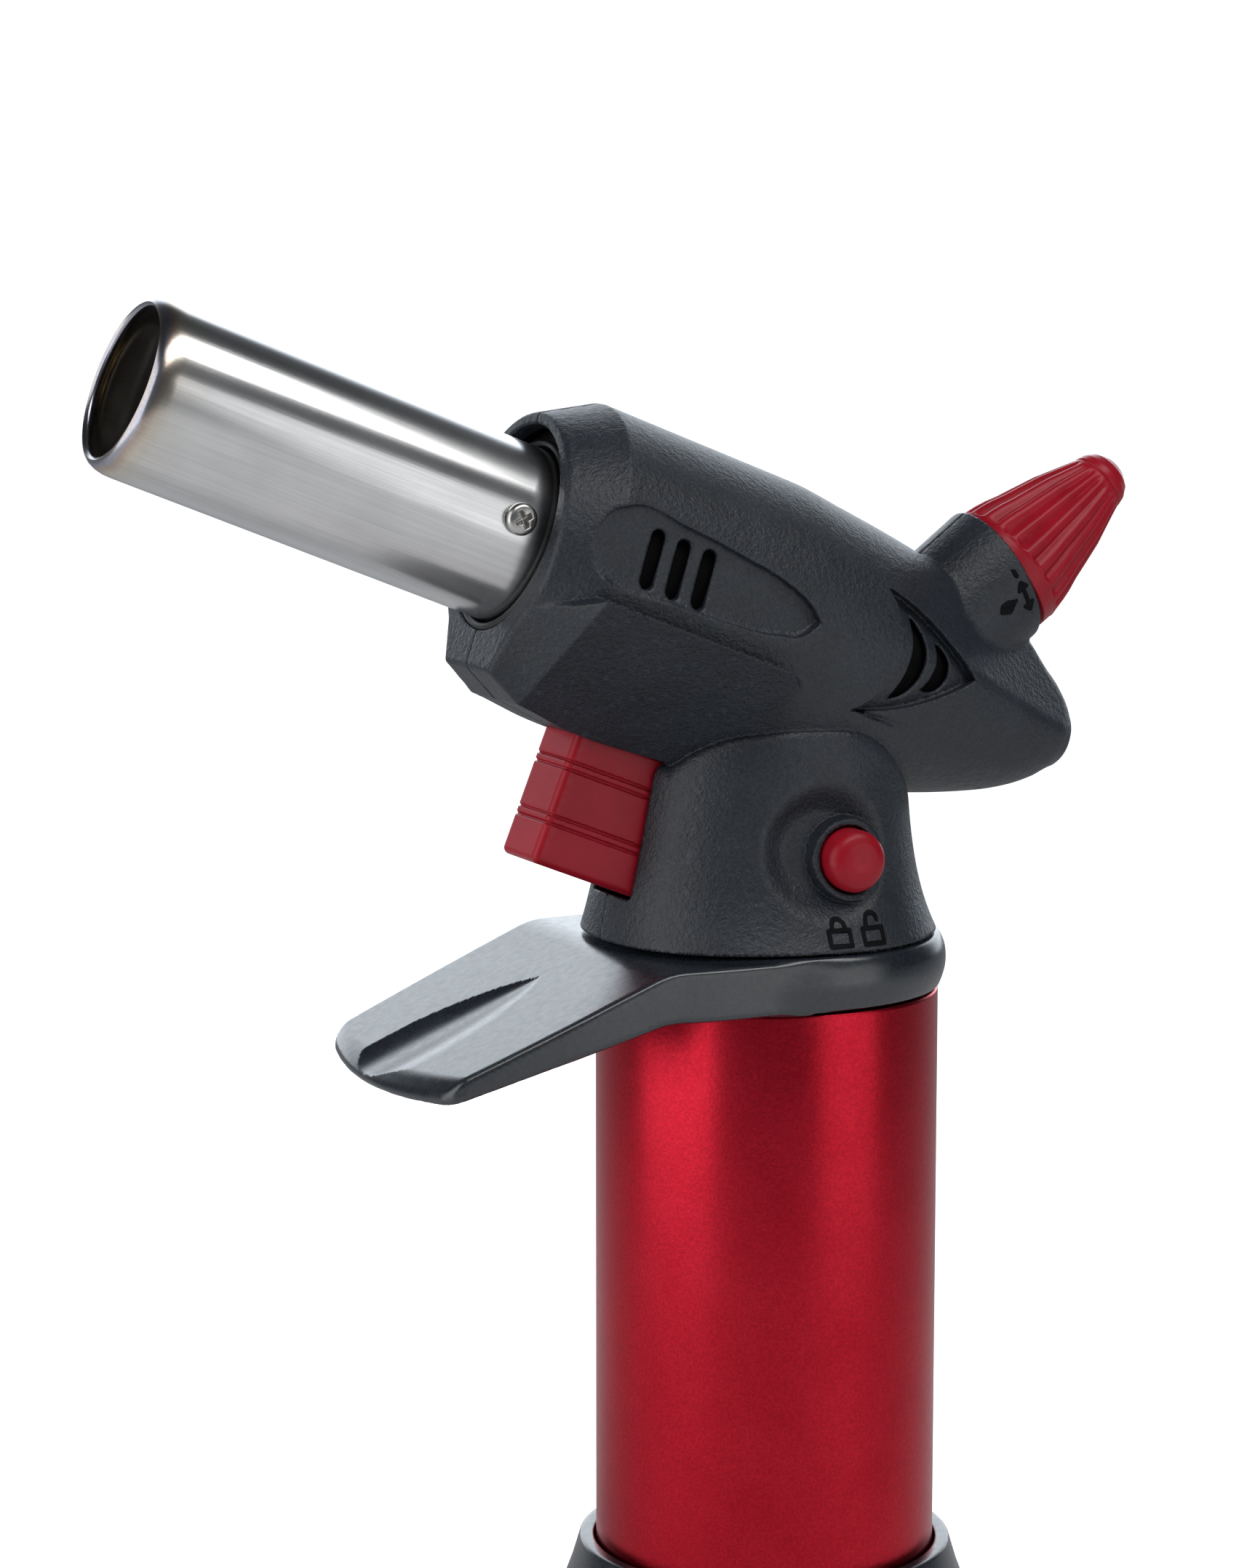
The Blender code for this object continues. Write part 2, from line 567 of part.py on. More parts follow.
def make_guard(tank):
    """The clamp ring round the tank's neck and the plate that shields the fingers."""
    ring = [(0, -7.3), (GUARD_R, -7.3), (GUARD_R, -0.7), (GUARD_R - 0.6, -0.1), (0, -0.1)]
    guard = turned("finger_guard", ring, tank, BLACK, 48)
    stations = [(-6.0, 22.3), (-25.0, 22.3), (-40.0, 21.8), (GUARD_TIP_X, 20.0)]
    plate = lofted("guard_plate", [guard_station(x, half) for x, half in stations], tank, None)
    combine(guard, plate, 'UNION')
    combine(guard, rod("guard_bore", TANK_NECK_R + GAP, (0, 0, -12), (0, 0, 4), tank,
                       segments=32))
    pocket = [(-28.0, -20), (-28.0, -4.2), (-48.0, -12.6), (-48.0, -20)]
    combine(guard, extruded("guard_pocket", pocket, -17.5, 17.5, tank, None))


def main():
    clear_scene()
    tank = axis_empty("tank_axis", TANK_AXIS_X, SEAM_Z)
    head = axis_empty("head_axis", TANK_AXIS_X, SEAM_Z + HEAD_RISE, HEAD_TILT - 90)
    knob = axis_empty("knob_axis", TANK_AXIS_X + KNOB_SEAT[0], SEAM_Z + KNOB_SEAT[1],
                      90 - KNOB_TILT)
    make_shells(tank, head, knob)
    make_shell_screws(tank)
    make_burner(head)
    make_regulator(tank, head, knob)
    make_igniter(tank, head)
    make_trigger(head)
    make_valve(tank)
    make_lock(tank)
    make_tank(tank)
    make_base(tank)
    make_guard(tank)


main()
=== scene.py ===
"""Looks of the butane torch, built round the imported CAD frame.

The moulded parts (head shells, finger guard, trigger, screws) and the signs are distance fields meshed by
surface nets, so their creases, pockets and vents come from one description of the shape. The round parts
are turned from profiles, the gas knob is lofted and the springs are swept. Lengths are millimetres in the
tank frame (axis of the tank at x = y = 0, seam under the head shell at z = 0) until place() turns them
into the row frame in metres. Along the head, s runs from the tank's axis to the nozzle's mouth and t runs
up from the nozzle's axis; along the gas knob's axis, the lengths are called along and up.
"""

import json
import math

import bpy
import numpy as np
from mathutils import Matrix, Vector


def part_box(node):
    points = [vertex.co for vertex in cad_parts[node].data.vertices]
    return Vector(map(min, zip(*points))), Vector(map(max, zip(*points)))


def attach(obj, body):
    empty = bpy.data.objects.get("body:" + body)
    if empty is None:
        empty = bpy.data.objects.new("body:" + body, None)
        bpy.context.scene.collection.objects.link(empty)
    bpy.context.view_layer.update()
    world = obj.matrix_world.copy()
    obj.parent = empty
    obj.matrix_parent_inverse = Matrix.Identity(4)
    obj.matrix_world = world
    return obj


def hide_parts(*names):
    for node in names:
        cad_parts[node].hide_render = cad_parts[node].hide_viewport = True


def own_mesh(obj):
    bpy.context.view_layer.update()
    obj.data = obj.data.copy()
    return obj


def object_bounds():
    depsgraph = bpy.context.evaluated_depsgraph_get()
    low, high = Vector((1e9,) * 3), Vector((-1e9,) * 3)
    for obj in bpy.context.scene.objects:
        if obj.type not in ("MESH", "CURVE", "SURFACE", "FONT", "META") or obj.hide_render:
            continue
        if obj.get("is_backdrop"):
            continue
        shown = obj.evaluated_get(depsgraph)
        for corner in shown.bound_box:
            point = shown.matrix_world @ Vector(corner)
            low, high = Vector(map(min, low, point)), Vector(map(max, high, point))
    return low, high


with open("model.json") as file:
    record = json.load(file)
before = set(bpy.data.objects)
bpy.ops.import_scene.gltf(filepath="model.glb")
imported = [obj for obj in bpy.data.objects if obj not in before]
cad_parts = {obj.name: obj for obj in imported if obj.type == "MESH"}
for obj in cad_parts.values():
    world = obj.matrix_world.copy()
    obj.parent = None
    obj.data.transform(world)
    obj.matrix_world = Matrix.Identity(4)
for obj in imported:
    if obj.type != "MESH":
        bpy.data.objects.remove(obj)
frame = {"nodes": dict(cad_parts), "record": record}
CAD_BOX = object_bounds()

# ---------------------------------------------------------------- frames and main sizes, mm and degrees
MM = 0.001
TANK_X, SEAM_Z = 19.48, 104.0
HEAD_PITCH = math.radians(21.7)
HEAD_Z = 39.38
KNOB_PITCH = math.radians(37.4)
KNOB_X, KNOB_Z = 36.06, 47.1
COS_H, SIN_H = math.cos(HEAD_PITCH), math.sin(HEAD_PITCH)
COS_K, SIN_K = math.cos(KNOB_PITCH), math.sin(KNOB_PITCH)
HALF_ROOT2 = math.sqrt(0.5)

# head: radii, nose, and the tail as (s, value) tables
BARREL_R = 20.0
SHELL_WALL = 2.2
SEAM_GAP = 0.13
RIM_R, RIM_DIAGONAL, FRONT_S, FRONT_TILT = 16.5, 15.3, 41.0, 0.064
CHAMFER_S, NOSE_EDGE = 34.5, 0.6
CHIN_DROP = ((0, 20.8), (8, 20.8), (26.8, 21.4), (34.4, 20.6), (41, 20.6))
CHIN_TOP, RIM_CHIN_DROP, RIM_CHIN_TOP, RIM_CHIN_HALF, RIM_CHIN_FLARE = -5, 17.4, -8, 7.0, 0.48
TAIL_TOP = ((-49.2, 1.0), (-48.7, 3.3), (-46.9, 6.0), (-44.2, 8.3), (-40.7, 10.3), (-37.5, 12.4),
            (-28, 15.2), (-20, 17.0), (-12.3, 18.2), (-7.2, 18.8), (-2.2, 19.3), (2.6, 19.8), (7, 20),
            (11, 20), (60, 20))
TAIL_DEPTH = ((-49.2, 0.2), (-48.4, 2.2), (-46.8, 3.8), (-43.4, 6.5), (-39.4, 8.7), (-35.2, 10.4),
              (-30.9, 11.9), (-20, 15.3), (-12, 17.3), (-3, 19.3), (5, 20), (9, 20), (60, 20))
TAIL_WIDTH = ((-49.4, 0.3), (-48.4, 3.6), (-46, 6.5), (-42, 8.9), (-35, 11.4), (-28, 13.4), (-21, 15.6),
              (-14, 17.6), (-6, 19.2), (5, 20), (9, 20), (60, 20))
TAIL_CENTRE = ((-49.2, 0.6), (-44, 1.2), (-30, 1.8), (-15, 1.3), (0, 0), (60, 0))
TAIL_SHORTER, TAIL_SHORTER_FROM, TAIL_END = 0.065, -30, -48.0
TAIL_BLEND_S, TAIL_BLEND_LENGTH = 1, 6
# facets of the tail: a plane's normal in (s, t, y), its distance, and how soft its edge is
TAIL_FACETS = ((-0.314, 0.562, 0.764, 20.7, 0.7), (-0.309, -0.121, 0.943, 20.75, 1.2))
# neck under the head: (reach, more of it with the flare; with the height, for the front), and its powers
NECK_X, NECK_TOP, NECK_FLARE, FOOT_Z = 1.5, -6, 9, 0.2
NECK_REAR, NECK_FRONT, NECK_HALF = (16.7, 4.4), (26.4, -0.2), (17.3, 5.7)
NECK_REAR_POWER, NECK_FRONT_POWER = 2.0, 2.3
# flats on the nose, gills and valleys on the tail, slats of the vent
SCALLOP_UPPER = ((3.6, 2.5), (5.1, 3.8), (9.7, 5.7), (15.9, 6.7), (24.7, 7.6), (34, 7.4), (36.6, 5.2),
                 (37.9, 1.8), (40, -6))
SCALLOP_LOWER = ((3.6, 2.5), (4.9, 0.6), (8.8, -1.1), (15.2, -2.1), (24, -2.4), (34.3, -2.6), (36.8, -1.2),
                 (37.9, 1.8), (40, 9))
SCALLOP_BACK, SCALLOP_TILT, SCALLOP_FLAT = 3.6, math.radians(10), 18.45
VENT_S, VENT_T, VENT_HALF, VENT_R, VENT_DEEP = (28.5, 24.65, 20.8), 2.15, 2.95, 1.0, 12
GILL_TOP, GILL_BACK, GILL_LOW = (-5.9, 10.4), (-24.2, 3.5), (-5.7, -6.5)
GILL_FRONT_MID, GILL_UPPER_MID, GILL_LOWER_MID = (-10.1, 1.8), (-15.6, 8.0), (-15.2, -2.9)
GILL_DEPTH, GILL_DEEP = 1.5, 9
CRESCENTS = (((-11.1, 7.9), (-12.75, 3.0), (-11.4, -3.2), (-15.45, 2.7)),
             ((-16.6, 5.9), (-17.45, 3.0), (-16.3, -0.5), (-19.9, 3.4)))
VALLEY_T, VALLEY_FRONT, VALLEY_DEPTH = -6.35, -5.6, 0.9
MOUTH_R, MOUTH_T, MOUTH_S = 13.75, 0.75, 34
TANK_NECK_R = 9.4
# trigger, lock button with its dimple, gas knob's collar
TRIGGER_SLOT_S, TRIGGER_SLOT_T, TRIGGER_SLOT_HALF = (0.0, 36.0), (-39.4, -21.7), 5.65
TRIGGER_ROOF_S, TRIGGER_ROOF_T, TRIGGER_PAD_TOP = (0.0, 24.8), (-30.0, -20.3), -20.8
LOCK_X, LOCK_Z, LOCK_HOLE_R, LOCK_R = 2.7, 11.7, 4.4, 4.1
LOCK_RIM_R, MOAT_X, MOAT_Z, MOAT_R, MOAT_DEPTH, MOAT_SLOPE = 5.6, -0.6, 12.7, 9.6, 2.2, 4.8
COLLAR_R, COLLAR_UP, COLLAR_BORE, COLLAR_BACK, SPINDLE_HOLE_R = 9.7, 0.2, 7.6, -26, 2.9
COLLAR_FACE, COLLAR_SLANT, SLANT_COS = 1.75, 0.155, 0.988
SKIRT_HOLE_R, SKIRT_FLOOR, COLLAR_BOTTOM = 9.2, -2.05, 5.6
BOSS_R, SCREW_SEAT_R, SCREW_HOLE_R = 3.9, 2.8, 1.35
FAR = 9.0
COARSE = 1.0
SHELL_CELL, GUARD_CELL, TRIGGER_CELL = 0.35 * COARSE, 0.42 * COARSE, 0.26 * COARSE
SCREW_CELL, SHADE_SHEET_CELL, MARK_CELL = 0.11, 0.4, 0.14

CAMERA_MM = (-231.72, -492.6, 202.85)
CAMERA_YAW, CAMERA_TILT = -25.08, 8.18
LIGHT_TARGET = (0.0, 0.0, 0.12)
CAMERA_LENS, CAMERA_SENSOR = 95.87, 36.0


def head_point(s, t, y=0.0):
    """Tank frame point at s along the nozzle's axis and t above it."""
    return -s * COS_H + t * SIN_H, y, HEAD_Z + s * SIN_H + t * COS_H


def to_head(x, z):
    rise = z - HEAD_Z
    return -x * COS_H + rise * SIN_H, x * SIN_H + rise * COS_H


def knob_point(s, r, angle):
    """Tank frame point at s along the knob's axis, r out from it."""
    side, up = r * math.cos(angle), r * math.sin(angle)
    return KNOB_X + s * COS_K - up * SIN_K, side, KNOB_Z + s * SIN_K + up * COS_K


def to_knob(x, z):
    dx, dz = x - KNOB_X, z - KNOB_Z
    return dx * COS_K + dz * SIN_K, -dx * SIN_K + dz * COS_K


def place(points):
    """Tank frame millimetres to row frame metres."""
    return (np.asarray(points, float) + (TANK_X, 0.0, SEAM_Z)) * MM


def row_point(x, y, z):
    return Vector(place((x, y, z)))


# ---------------------------------------------------------------- materials
class Nodes:
    """A node tree, with short calls for the nodes used here."""

    def __init__(self, tree):
        self.tree = tree

    def feed(self, socket, value):
        """Sets an input to a value, or links another node's output to it."""
        if isinstance(value, bpy.types.NodeSocket):
            self.tree.links.new(value, socket)
        else:
            socket.default_value = (*value, 1) if socket.type == "RGBA" else value

    def node(self, kind, inputs=None, output=0, **settings):
        """An output of a new node. Its inputs are fed by name or number."""
        made = self.tree.nodes.new(kind)
        for key, value in settings.items():
            setattr(made, key, value)
        for key, value in (inputs or {}).items():
            self.feed(made.inputs[key], value)
        return made.outputs[output]

    def ramp(self, factor, *stops):
        output = self.node("ShaderNodeValToRGB", {"Fac": factor}, "Color")
        elements = output.node.color_ramp.elements
        while len(elements) < len(stops):
            elements.new(0.5)
        for element, (at, colour) in zip(elements, stops):
            element.position, element.color = at, (*colour, 1)
        return output

    def grey_ramp(self, factor, *stops):
        return self.ramp(factor, *((at, (value,) * 3) for at, value in stops))

    def math(self, operation, first, second):
        return self.node("ShaderNodeMath", {0: first, 1: second}, operation=operation)

    def vector(self, operation, first, second, output=0):
        return self.node("ShaderNodeVectorMath", {0: first, 1: second}, output, operation=operation)

    def by_camera(self, other, camera):
        """One shader for the camera's own rays, another for all others."""
        seen = self.node("ShaderNodeLightPath", output="Is Camera Ray")
        return self.node("ShaderNodeMixShader", {0: seen, 1: other, 2: camera})


class Graph(Nodes):
    """The nodes of a material. Its position is the object's own, in metres."""

    def __init__(self, name, colour, roughness, **inputs):
        self.material = bpy.data.materials.new(name)
        self.material.use_nodes = True
        super().__init__(self.material.node_tree)
        self.shader = self.tree.nodes["Principled BSDF"]
        self.colour(colour)
        self.roughness(roughness)
        for key, value in inputs.items():
            self.feed(self.shader.inputs[key.replace("_", " ")], value)
        self.position = self.node("ShaderNodeTexCoord", output="Object")

    def noise(self, size_mm, detail=2.0, roughness=0.5, vector=None):
        inputs = {"Vector": vector or self.position, "Scale": 1 / (size_mm * MM), "Detail": detail,
                  "Roughness": roughness}
        return self.node("ShaderNodeTexNoise", inputs, "Fac")

    def cells(self, size_mm):
        inputs = {"Vector": self.position, "Scale": 1 / (size_mm * MM)}
        return self.node("ShaderNodeTexVoronoi", inputs, "Distance")

    def mix(self, factor, first, second, blend="MIX"):
        inputs = {0: factor, 6: first, 7: second}
        return self.node("ShaderNodeMix", inputs, 2, data_type="RGBA", blend_type=blend)

    def along(self, origin, direction):
        """Distance in metres along a direction of the row frame, from a point."""
        return self.vector("DOT_PRODUCT", self.vector("SUBTRACT", self.position, origin), direction, "Value")

    def stretched(self, origin, direction, share):
        """The position with its component along a direction shortened to a share, to draw noise out."""
        length = self.math("MULTIPLY", self.along(origin, direction), 1 - share)
        drop = self.node("ShaderNodeVectorMath", {0: direction, "Scale": length}, operation="SCALE")
        return self.vector("SUBTRACT", self.position, drop)

    def edges(self, low, high):
        """0 on flat surfaces, rising to 1 on outer edges."""
        pointiness = self.node("ShaderNodeNewGeometry", output="Pointiness")
        return self.grey_ramp(pointiness, (low, 0.0), (high, 1.0))

    def bump(self, *layers):
        """Bumps stacked on each other, each (height, depth in mm)."""
        below = {}
        for height, depth_mm in layers:
            inputs = {"Distance": depth_mm * MM, "Height": height, **below}
            below = {"Normal": self.node("ShaderNodeBump", inputs, "Normal")}
        self.feed(self.shader.inputs["Normal"], below["Normal"])

    def colour(self, source):
        self.feed(self.shader.inputs["Base Color"], source)

    def roughness(self, source):
        self.feed(self.shader.inputs["Roughness"], source)


def moulded_plastic(name, dark, light, roughness, grain_mm, grain_depth, **inputs):
    """Moulded plastic with a spark-eroded grain, faint mottling and a painted highlight that lightens its
    outer edges.
    """
    g = Graph(name, light, roughness, **inputs)
    mottle = g.ramp(g.noise(7.0, 3.0), (0.35, dark), (0.7, light))
    speck = g.grey_ramp(g.noise(grain_mm * 0.9, 1.0), (0.35, 0.72), (0.68, 1.3))
    base = g.mix(1.0, mottle, speck, "MULTIPLY")
    # painted highlight: the outer edges are painted lighter
    edge_highlight = tuple(min(1.0, 1.7 * c + 0.01) for c in light)
    g.colour(g.mix(g.math("MULTIPLY", g.edges(0.54, 0.62), 0.4), base, edge_highlight))
    spread = g.math("MULTIPLY", g.noise(grain_mm * 2.2, 2.0), 0.16)
    g.roughness(g.math("ADD", spread, roughness - 0.08))
    g.bump((g.noise(grain_mm, 2.0, 0.6), grain_depth), (g.cells(grain_mm * 2.6), grain_depth * 0.5))
    return g.material


HEAT_COLOURS = ((0.0, (1, 1, 1)), (0.5, (0.98, 0.95, 0.9)), (0.72, (0.9, 0.8, 0.66)),
                (0.84, (0.62, 0.46, 0.36)), (0.92, (0.42, 0.44, 0.56)), (1.0, (0.60, 0.50, 0.42)))


def brushed_steel(name, tint, roughness, origin, direction, heat=None):
    """Metal brushed along a direction. Heat is where its colours start and end, in mm."""
    g = Graph(name, tint, roughness, Metallic=1.0, Anisotropic=0.3)
    along = g.along(origin, direction)
    brushed = g.stretched(origin, direction, 0.02)
    lines = g.noise(0.35, 2.0, 0.6, brushed)
    streaks = g.grey_ramp(lines, (0.3, 0.90), (0.7, 1.05))
    smudge = g.grey_ramp(g.noise(9.0, 3.0, 0.6), (0.35, 0.95), (0.65, 1.02))
    base = g.mix(1.0, g.mix(1.0, tint, streaks, "MULTIPLY"), smudge, "MULTIPLY")
    if heat:
        start, end = heat
        wander = g.math("MULTIPLY", g.math("SUBTRACT", g.noise(6.0, 2.0), 0.5), 0.14)
        travel = g.math("DIVIDE", g.math("SUBTRACT", along, start * MM), (end - start) * MM)
        colours = g.ramp(g.math("ADD", travel, wander), *HEAT_COLOURS)
        base = g.mix(0.85, base, colours, "MULTIPLY")
    g.colour(base)
    g.roughness(g.math("ADD", g.math("MULTIPLY", g.noise(12.0, 2.0), 0.06), roughness - 0.03))
    g.bump((lines, 0.004))
    return g.material


def plain_metal(name, dark, light, roughness):
    g = Graph(name, light, roughness, Metallic=1.0)
    g.colour(g.ramp(g.noise(2.5, 4.0, 0.6), (0.3, dark), (0.65, light)))
    g.roughness(g.math("ADD", g.math("MULTIPLY", g.noise(0.8, 3.0), 0.2), roughness - 0.1))
    g.bump((g.noise(0.3, 3.0), 0.006))
    return g.material


def anodised_tank(name):
    """Satin red anodising over a bead-blasted tube: a fine pebbled bump under a metallic red."""
    g = Graph(name, (0.55, 0.016, 0.034), 0.29, Metallic=1.0)
    tone = g.ramp(g.noise(9.0, 3.0), (0.3, (0.50, 0.014, 0.029)), (0.7, (0.56, 0.018, 0.036)))
    specks = g.grey_ramp(g.noise(0.35, 2.0), (0.35, 0.86), (0.7, 1.12))
    g.colour(g.mix(1.0, tone, specks, "MULTIPLY"))
    g.roughness(g.math("ADD", g.math("MULTIPLY", g.noise(1.2, 2.0), 0.08), 0.25))
    g.bump((g.noise(0.8, 2.0, 0.55), 0.016), (g.noise(0.3, 1.0), 0.006))
    return g.material


def satin_red(name):
    g = Graph(name, (0.36, 0.008, 0.020), 0.34, Subsurface_Weight=0.05, Specular_IOR_Level=0.25)
    g.shader.inputs["Subsurface Radius"].default_value = (0.002, 0.0004, 0.0003)
    tone = g.ramp(g.noise(6.0, 3.0), (0.3, (0.32, 0.006, 0.016)), (0.7, (0.39, 0.009, 0.022)))
    # painted highlight: the outer edges are painted a lighter red
    g.colour(g.mix(g.math("MULTIPLY", g.edges(0.53, 0.62), 0.3), tone, (0.42, 0.03, 0.045)))
    g.roughness(g.math("ADD", g.math("MULTIPLY", g.noise(0.5, 2.0), 0.12), 0.28))
    g.bump((g.noise(0.22, 2.0), 0.006), (g.noise(3.0, 2.0), 0.01))
    return g.material


def glazed_ceramic(name):
    g = Graph(name, (0.75, 0.72, 0.66), 0.35)
    g.colour(g.ramp(g.noise(2.0, 3.0), (0.3, (0.62, 0.57, 0.49)), (0.7, (0.8, 0.77, 0.71))))
    g.bump((g.noise(0.3, 2.0), 0.01))
    return g.material


def engraving_shade_paint(name):
    # near-black painted shade, standing in for the shade inside the engraved strokes of the signs
    g = Graph(name, (0.004, 0.004, 0.005), 0.6, Specular_IOR_Level=0.08)
    g.colour(g.ramp(g.noise(1.0, 2.0), (0.3, (0.003, 0.003, 0.004)), (0.7, (0.007, 0.007, 0.009))))
    g.bump((g.noise(0.2, 2.0), 0.006))
    return g.material


HEAD_AXIS_ROW = Vector((-COS_H, 0, SIN_H))
HEAD_ORIGIN_ROW = row_point(*head_point(0, 0))

MATERIALS = {
    "shell_plastic": moulded_plastic("shell_grain", (0.014, 0.0175, 0.024), (0.020, 0.0245, 0.033), 0.44,
                                     0.38, 0.12, Specular_IOR_Level=0.5),
    "guard_black": moulded_plastic("guard_satin", (0.012, 0.016, 0.022), (0.016, 0.021, 0.028), 0.27, 0.5,
                                   0.002, Specular_IOR_Level=0.9),
    "collar_black": moulded_plastic("collar_black", (0.010, 0.010, 0.011), (0.013, 0.013, 0.014), 0.42,
                                    0.25, 0.01),
    "tank_red": anodised_tank("tank_anodised"),
    "red_plastic": satin_red("red_satin"),
    "tube_steel": brushed_steel("tube_brushed", (0.72, 0.72, 0.725), 0.22, HEAD_ORIGIN_ROW, HEAD_AXIS_ROW,
                                (88, 96.4)),
    "dark_steel": brushed_steel("tube_sooted", (0.20, 0.18, 0.165), 0.42, HEAD_ORIGIN_ROW, HEAD_AXIS_ROW),
    "screw_steel": plain_metal("screw_steel", (0.42, 0.41, 0.40), (0.60, 0.59, 0.57), 0.28),
    "spring_steel": plain_metal("spring_steel", (0.40, 0.40, 0.41), (0.58, 0.58, 0.59), 0.3),
    "brass": plain_metal("brass", (0.62, 0.42, 0.15), (0.80, 0.58, 0.25), 0.28),
    "ceramic": glazed_ceramic("ceramic"),
    "lead_cover": moulded_plastic("lead_cover", (0.10, 0.010, 0.010), (0.14, 0.015, 0.014), 0.45, 0.3, 0.01),
    "rubber": moulded_plastic("rubber", (0.012, 0.012, 0.012), (0.018, 0.018, 0.018), 0.7, 0.3, 0.02),
    "mark": engraving_shade_paint("sign_engraving_shade"),
    # near-black for the sheets of painted shade behind the vents
    "shade_sheet": moulded_plastic("vent_shade_sheet_black", (0.0012, 0.0012, 0.0013), (0.002, 0.002, 0.002), 0.85, 0.3,
                              0.01, Specular_IOR_Level=0.1),
}


# ---------------------------------------------------------------- meshes
def add_mesh(name, vertices, faces, slot, body, replaces=(), normals=None, material=None):
    """A piece in the row frame, from tank frame points, riding on a body with its slot's material."""
    mesh = bpy.data.meshes.new(name)
    vertices, faces = np.asarray(vertices, float), list(map(tuple, faces))
    mesh.from_pydata(place(vertices).tolist(), [], faces)
    mesh.validate()
    mesh.polygons.foreach_set("use_smooth", [True] * len(mesh.polygons))
    if normals is not None and len(mesh.vertices) == len(normals):
        mesh.normals_split_custom_set_from_vertices(normals.tolist())
    mesh.update()
    piece = bpy.data.objects.new(name, mesh)
    bpy.context.scene.collection.objects.link(piece)
    mesh.materials.append(material or MATERIALS[slot])
    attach(piece, body)
    if replaces:
        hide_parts(*replaces)
    return piece


def grid_faces(rows, columns, closed=False):
    """Quads joining rows of points, each row a closed loop."""
    faces = []
    for i in range(rows if closed else rows - 1):
        for j in range(columns):
            a, b = i * columns, ((i + 1) % rows) * columns
            k = (j + 1) % columns
            faces.append((a + j, a + k, b + k, b + j))
    return faces


def rounded_profile(points, radius, steps=4):
    """A closed profile of (radius, height) points with its corners rounded."""
    count, result = len(points), []
    for i in range(count):
        before, here, after = (np.array(points[(i + k) % count], float) for k in (-1, 0, 1))
        towards = [(p - here) / max(np.linalg.norm(p - here), 1e-9) for p in (before, after)]
        if here[0] < 1e-6:
            result.append(tuple(here))
            continue
        reach = min(radius, *(0.45 * np.linalg.norm(p - here) for p in (before, after)))
        start, end = here + towards[0] * reach, here + towards[1] * reach
        for step in range(steps + 1):
            u = step / steps
            result.append(tuple((1 - u) ** 2 * start + 2 * u * (1 - u) * here + u * u * end))
    return result


def turned(name, profile, slot, body, replaces, segments, frame_of="tank"):
    """A closed (radius, position) profile turned about the tank's, the head's or the lock button's axis."""
    points = []
    for radius, height in profile:
        for k in range(segments):
            angle = 2 * math.pi * k / segments
            side, up = radius * math.cos(angle), radius * math.sin(angle)
            if frame_of == "head":
                points.append(head_point(height, up, side))
            elif frame_of == "lock":
                points.append((LOCK_X + side, -height, LOCK_Z + up))
            else:
                points.append((side, up, height))
    piece = add_mesh(name, points, grid_faces(len(profile), segments, closed=True), slot, body, replaces)
    face_outward(piece)
    sharpen(piece)
    return piece


def face_outward(piece):
    """Turns every face of a closed mesh to the outside."""
    mesh = piece.data
    mesh.calc_loop_triangles()
    corners = np.array([[mesh.vertices[v].co for v in t.vertices] for t in mesh.loop_triangles])
    volume = np.einsum("ij,ij->i", corners[:, 0], np.cross(corners[:, 1], corners[:, 2])).sum()
    if volume < 0:
        mesh.flip_normals()


def sharpen(piece, degrees=40):
    """Smooth shading with edges steeper than this kept crisp."""
    piece.data.set_sharp_from_angle(angle=math.radians(degrees))


# ---------------------------------------------------------------- distance fields
def smooth_max(a, b, k):
    """The part that both fields share, its edge rounded over a width k."""
    h = np.maximum(k - np.abs(a - b), 0) / k
    return np.maximum(a, b) + h * h * k / 4


def smooth_min(a, b, k):
    """Both fields joined, with a fillet of width k."""
    return -smooth_max(-a, -b, k)


def deepest(*fields):
    """The part that all of the fields share."""
    return np.maximum.reduce(np.broadcast_arrays(*fields))


def smooth_profile(points, samples=600):
    """A kink-free function through (position, value) points, as a fine table."""
    at, value = np.array(points, float).T
    slope = np.gradient(value, at)
    fine = np.linspace(at[0], at[-1], samples)
    i = np.clip(np.searchsorted(at, fine, side="right") - 1, 0, len(at) - 2)
    step = at[i + 1] - at[i]
    u = (fine - at[i]) / step
    table = ((1 + 2 * u) * (1 - u) ** 2 * value[i] + u * (1 - u) ** 2 * step * slope[i]
             + u * u * (3 - 2 * u) * value[i + 1] + u * u * (u - 1) * step * slope[i + 1])
    return lambda p: np.interp(p, fine, table)


def circle_through(a, b, c):
    """Centre and radius of the circle through three points."""
    (ax, ay), (bx, by), (cx, cy) = a, b, c
    aa, bb, cc = (u * u + v * v for u, v in (a, b, c))
    d = 2 * (ax * (by - cy) + bx * (cy - ay) + cx * (ay - by))
    ux = (aa * (by - cy) + bb * (cy - ay) + cc * (ay - by)) / d
    uy = (aa * (cx - bx) + bb * (ax - cx) + cc * (bx - ax)) / d
    return (ux, uy), math.hypot(ax - ux, ay - uy)


def disc(s, t, circle):
    """Distance to a circle in the head's side view, negative inside it."""
    (cs, ct), radius = circle
    return np.hypot(s - cs, t - ct) - radius


def smooth_step(share):
    return share * share * (3 - 2 * share)


def middle_of(value, limits):
    """Offset from the middle of two limits, and half the span between them."""
    low, high = limits
    return value - (low + high) / 2, (high - low) / 2


def rounded_box(offsets, halves, radius):
    """Distance to a box with rounded edges, from offsets to its centre."""
    inner = [np.abs(o) - (h - radius) for o, h in zip(offsets, halves)]
    outside = np.sqrt(sum(np.maximum(q, 0) ** 2 for q in inner))
    return outside + np.minimum(deepest(*inner), 0) - radius


def carve(solid, outline, floor, edge, fillet):
    """Takes a pocket out of a solid: inside outline, down to where floor turns positive."""
    return smooth_max(solid, smooth_min(-outline, -floor, fillet), edge)


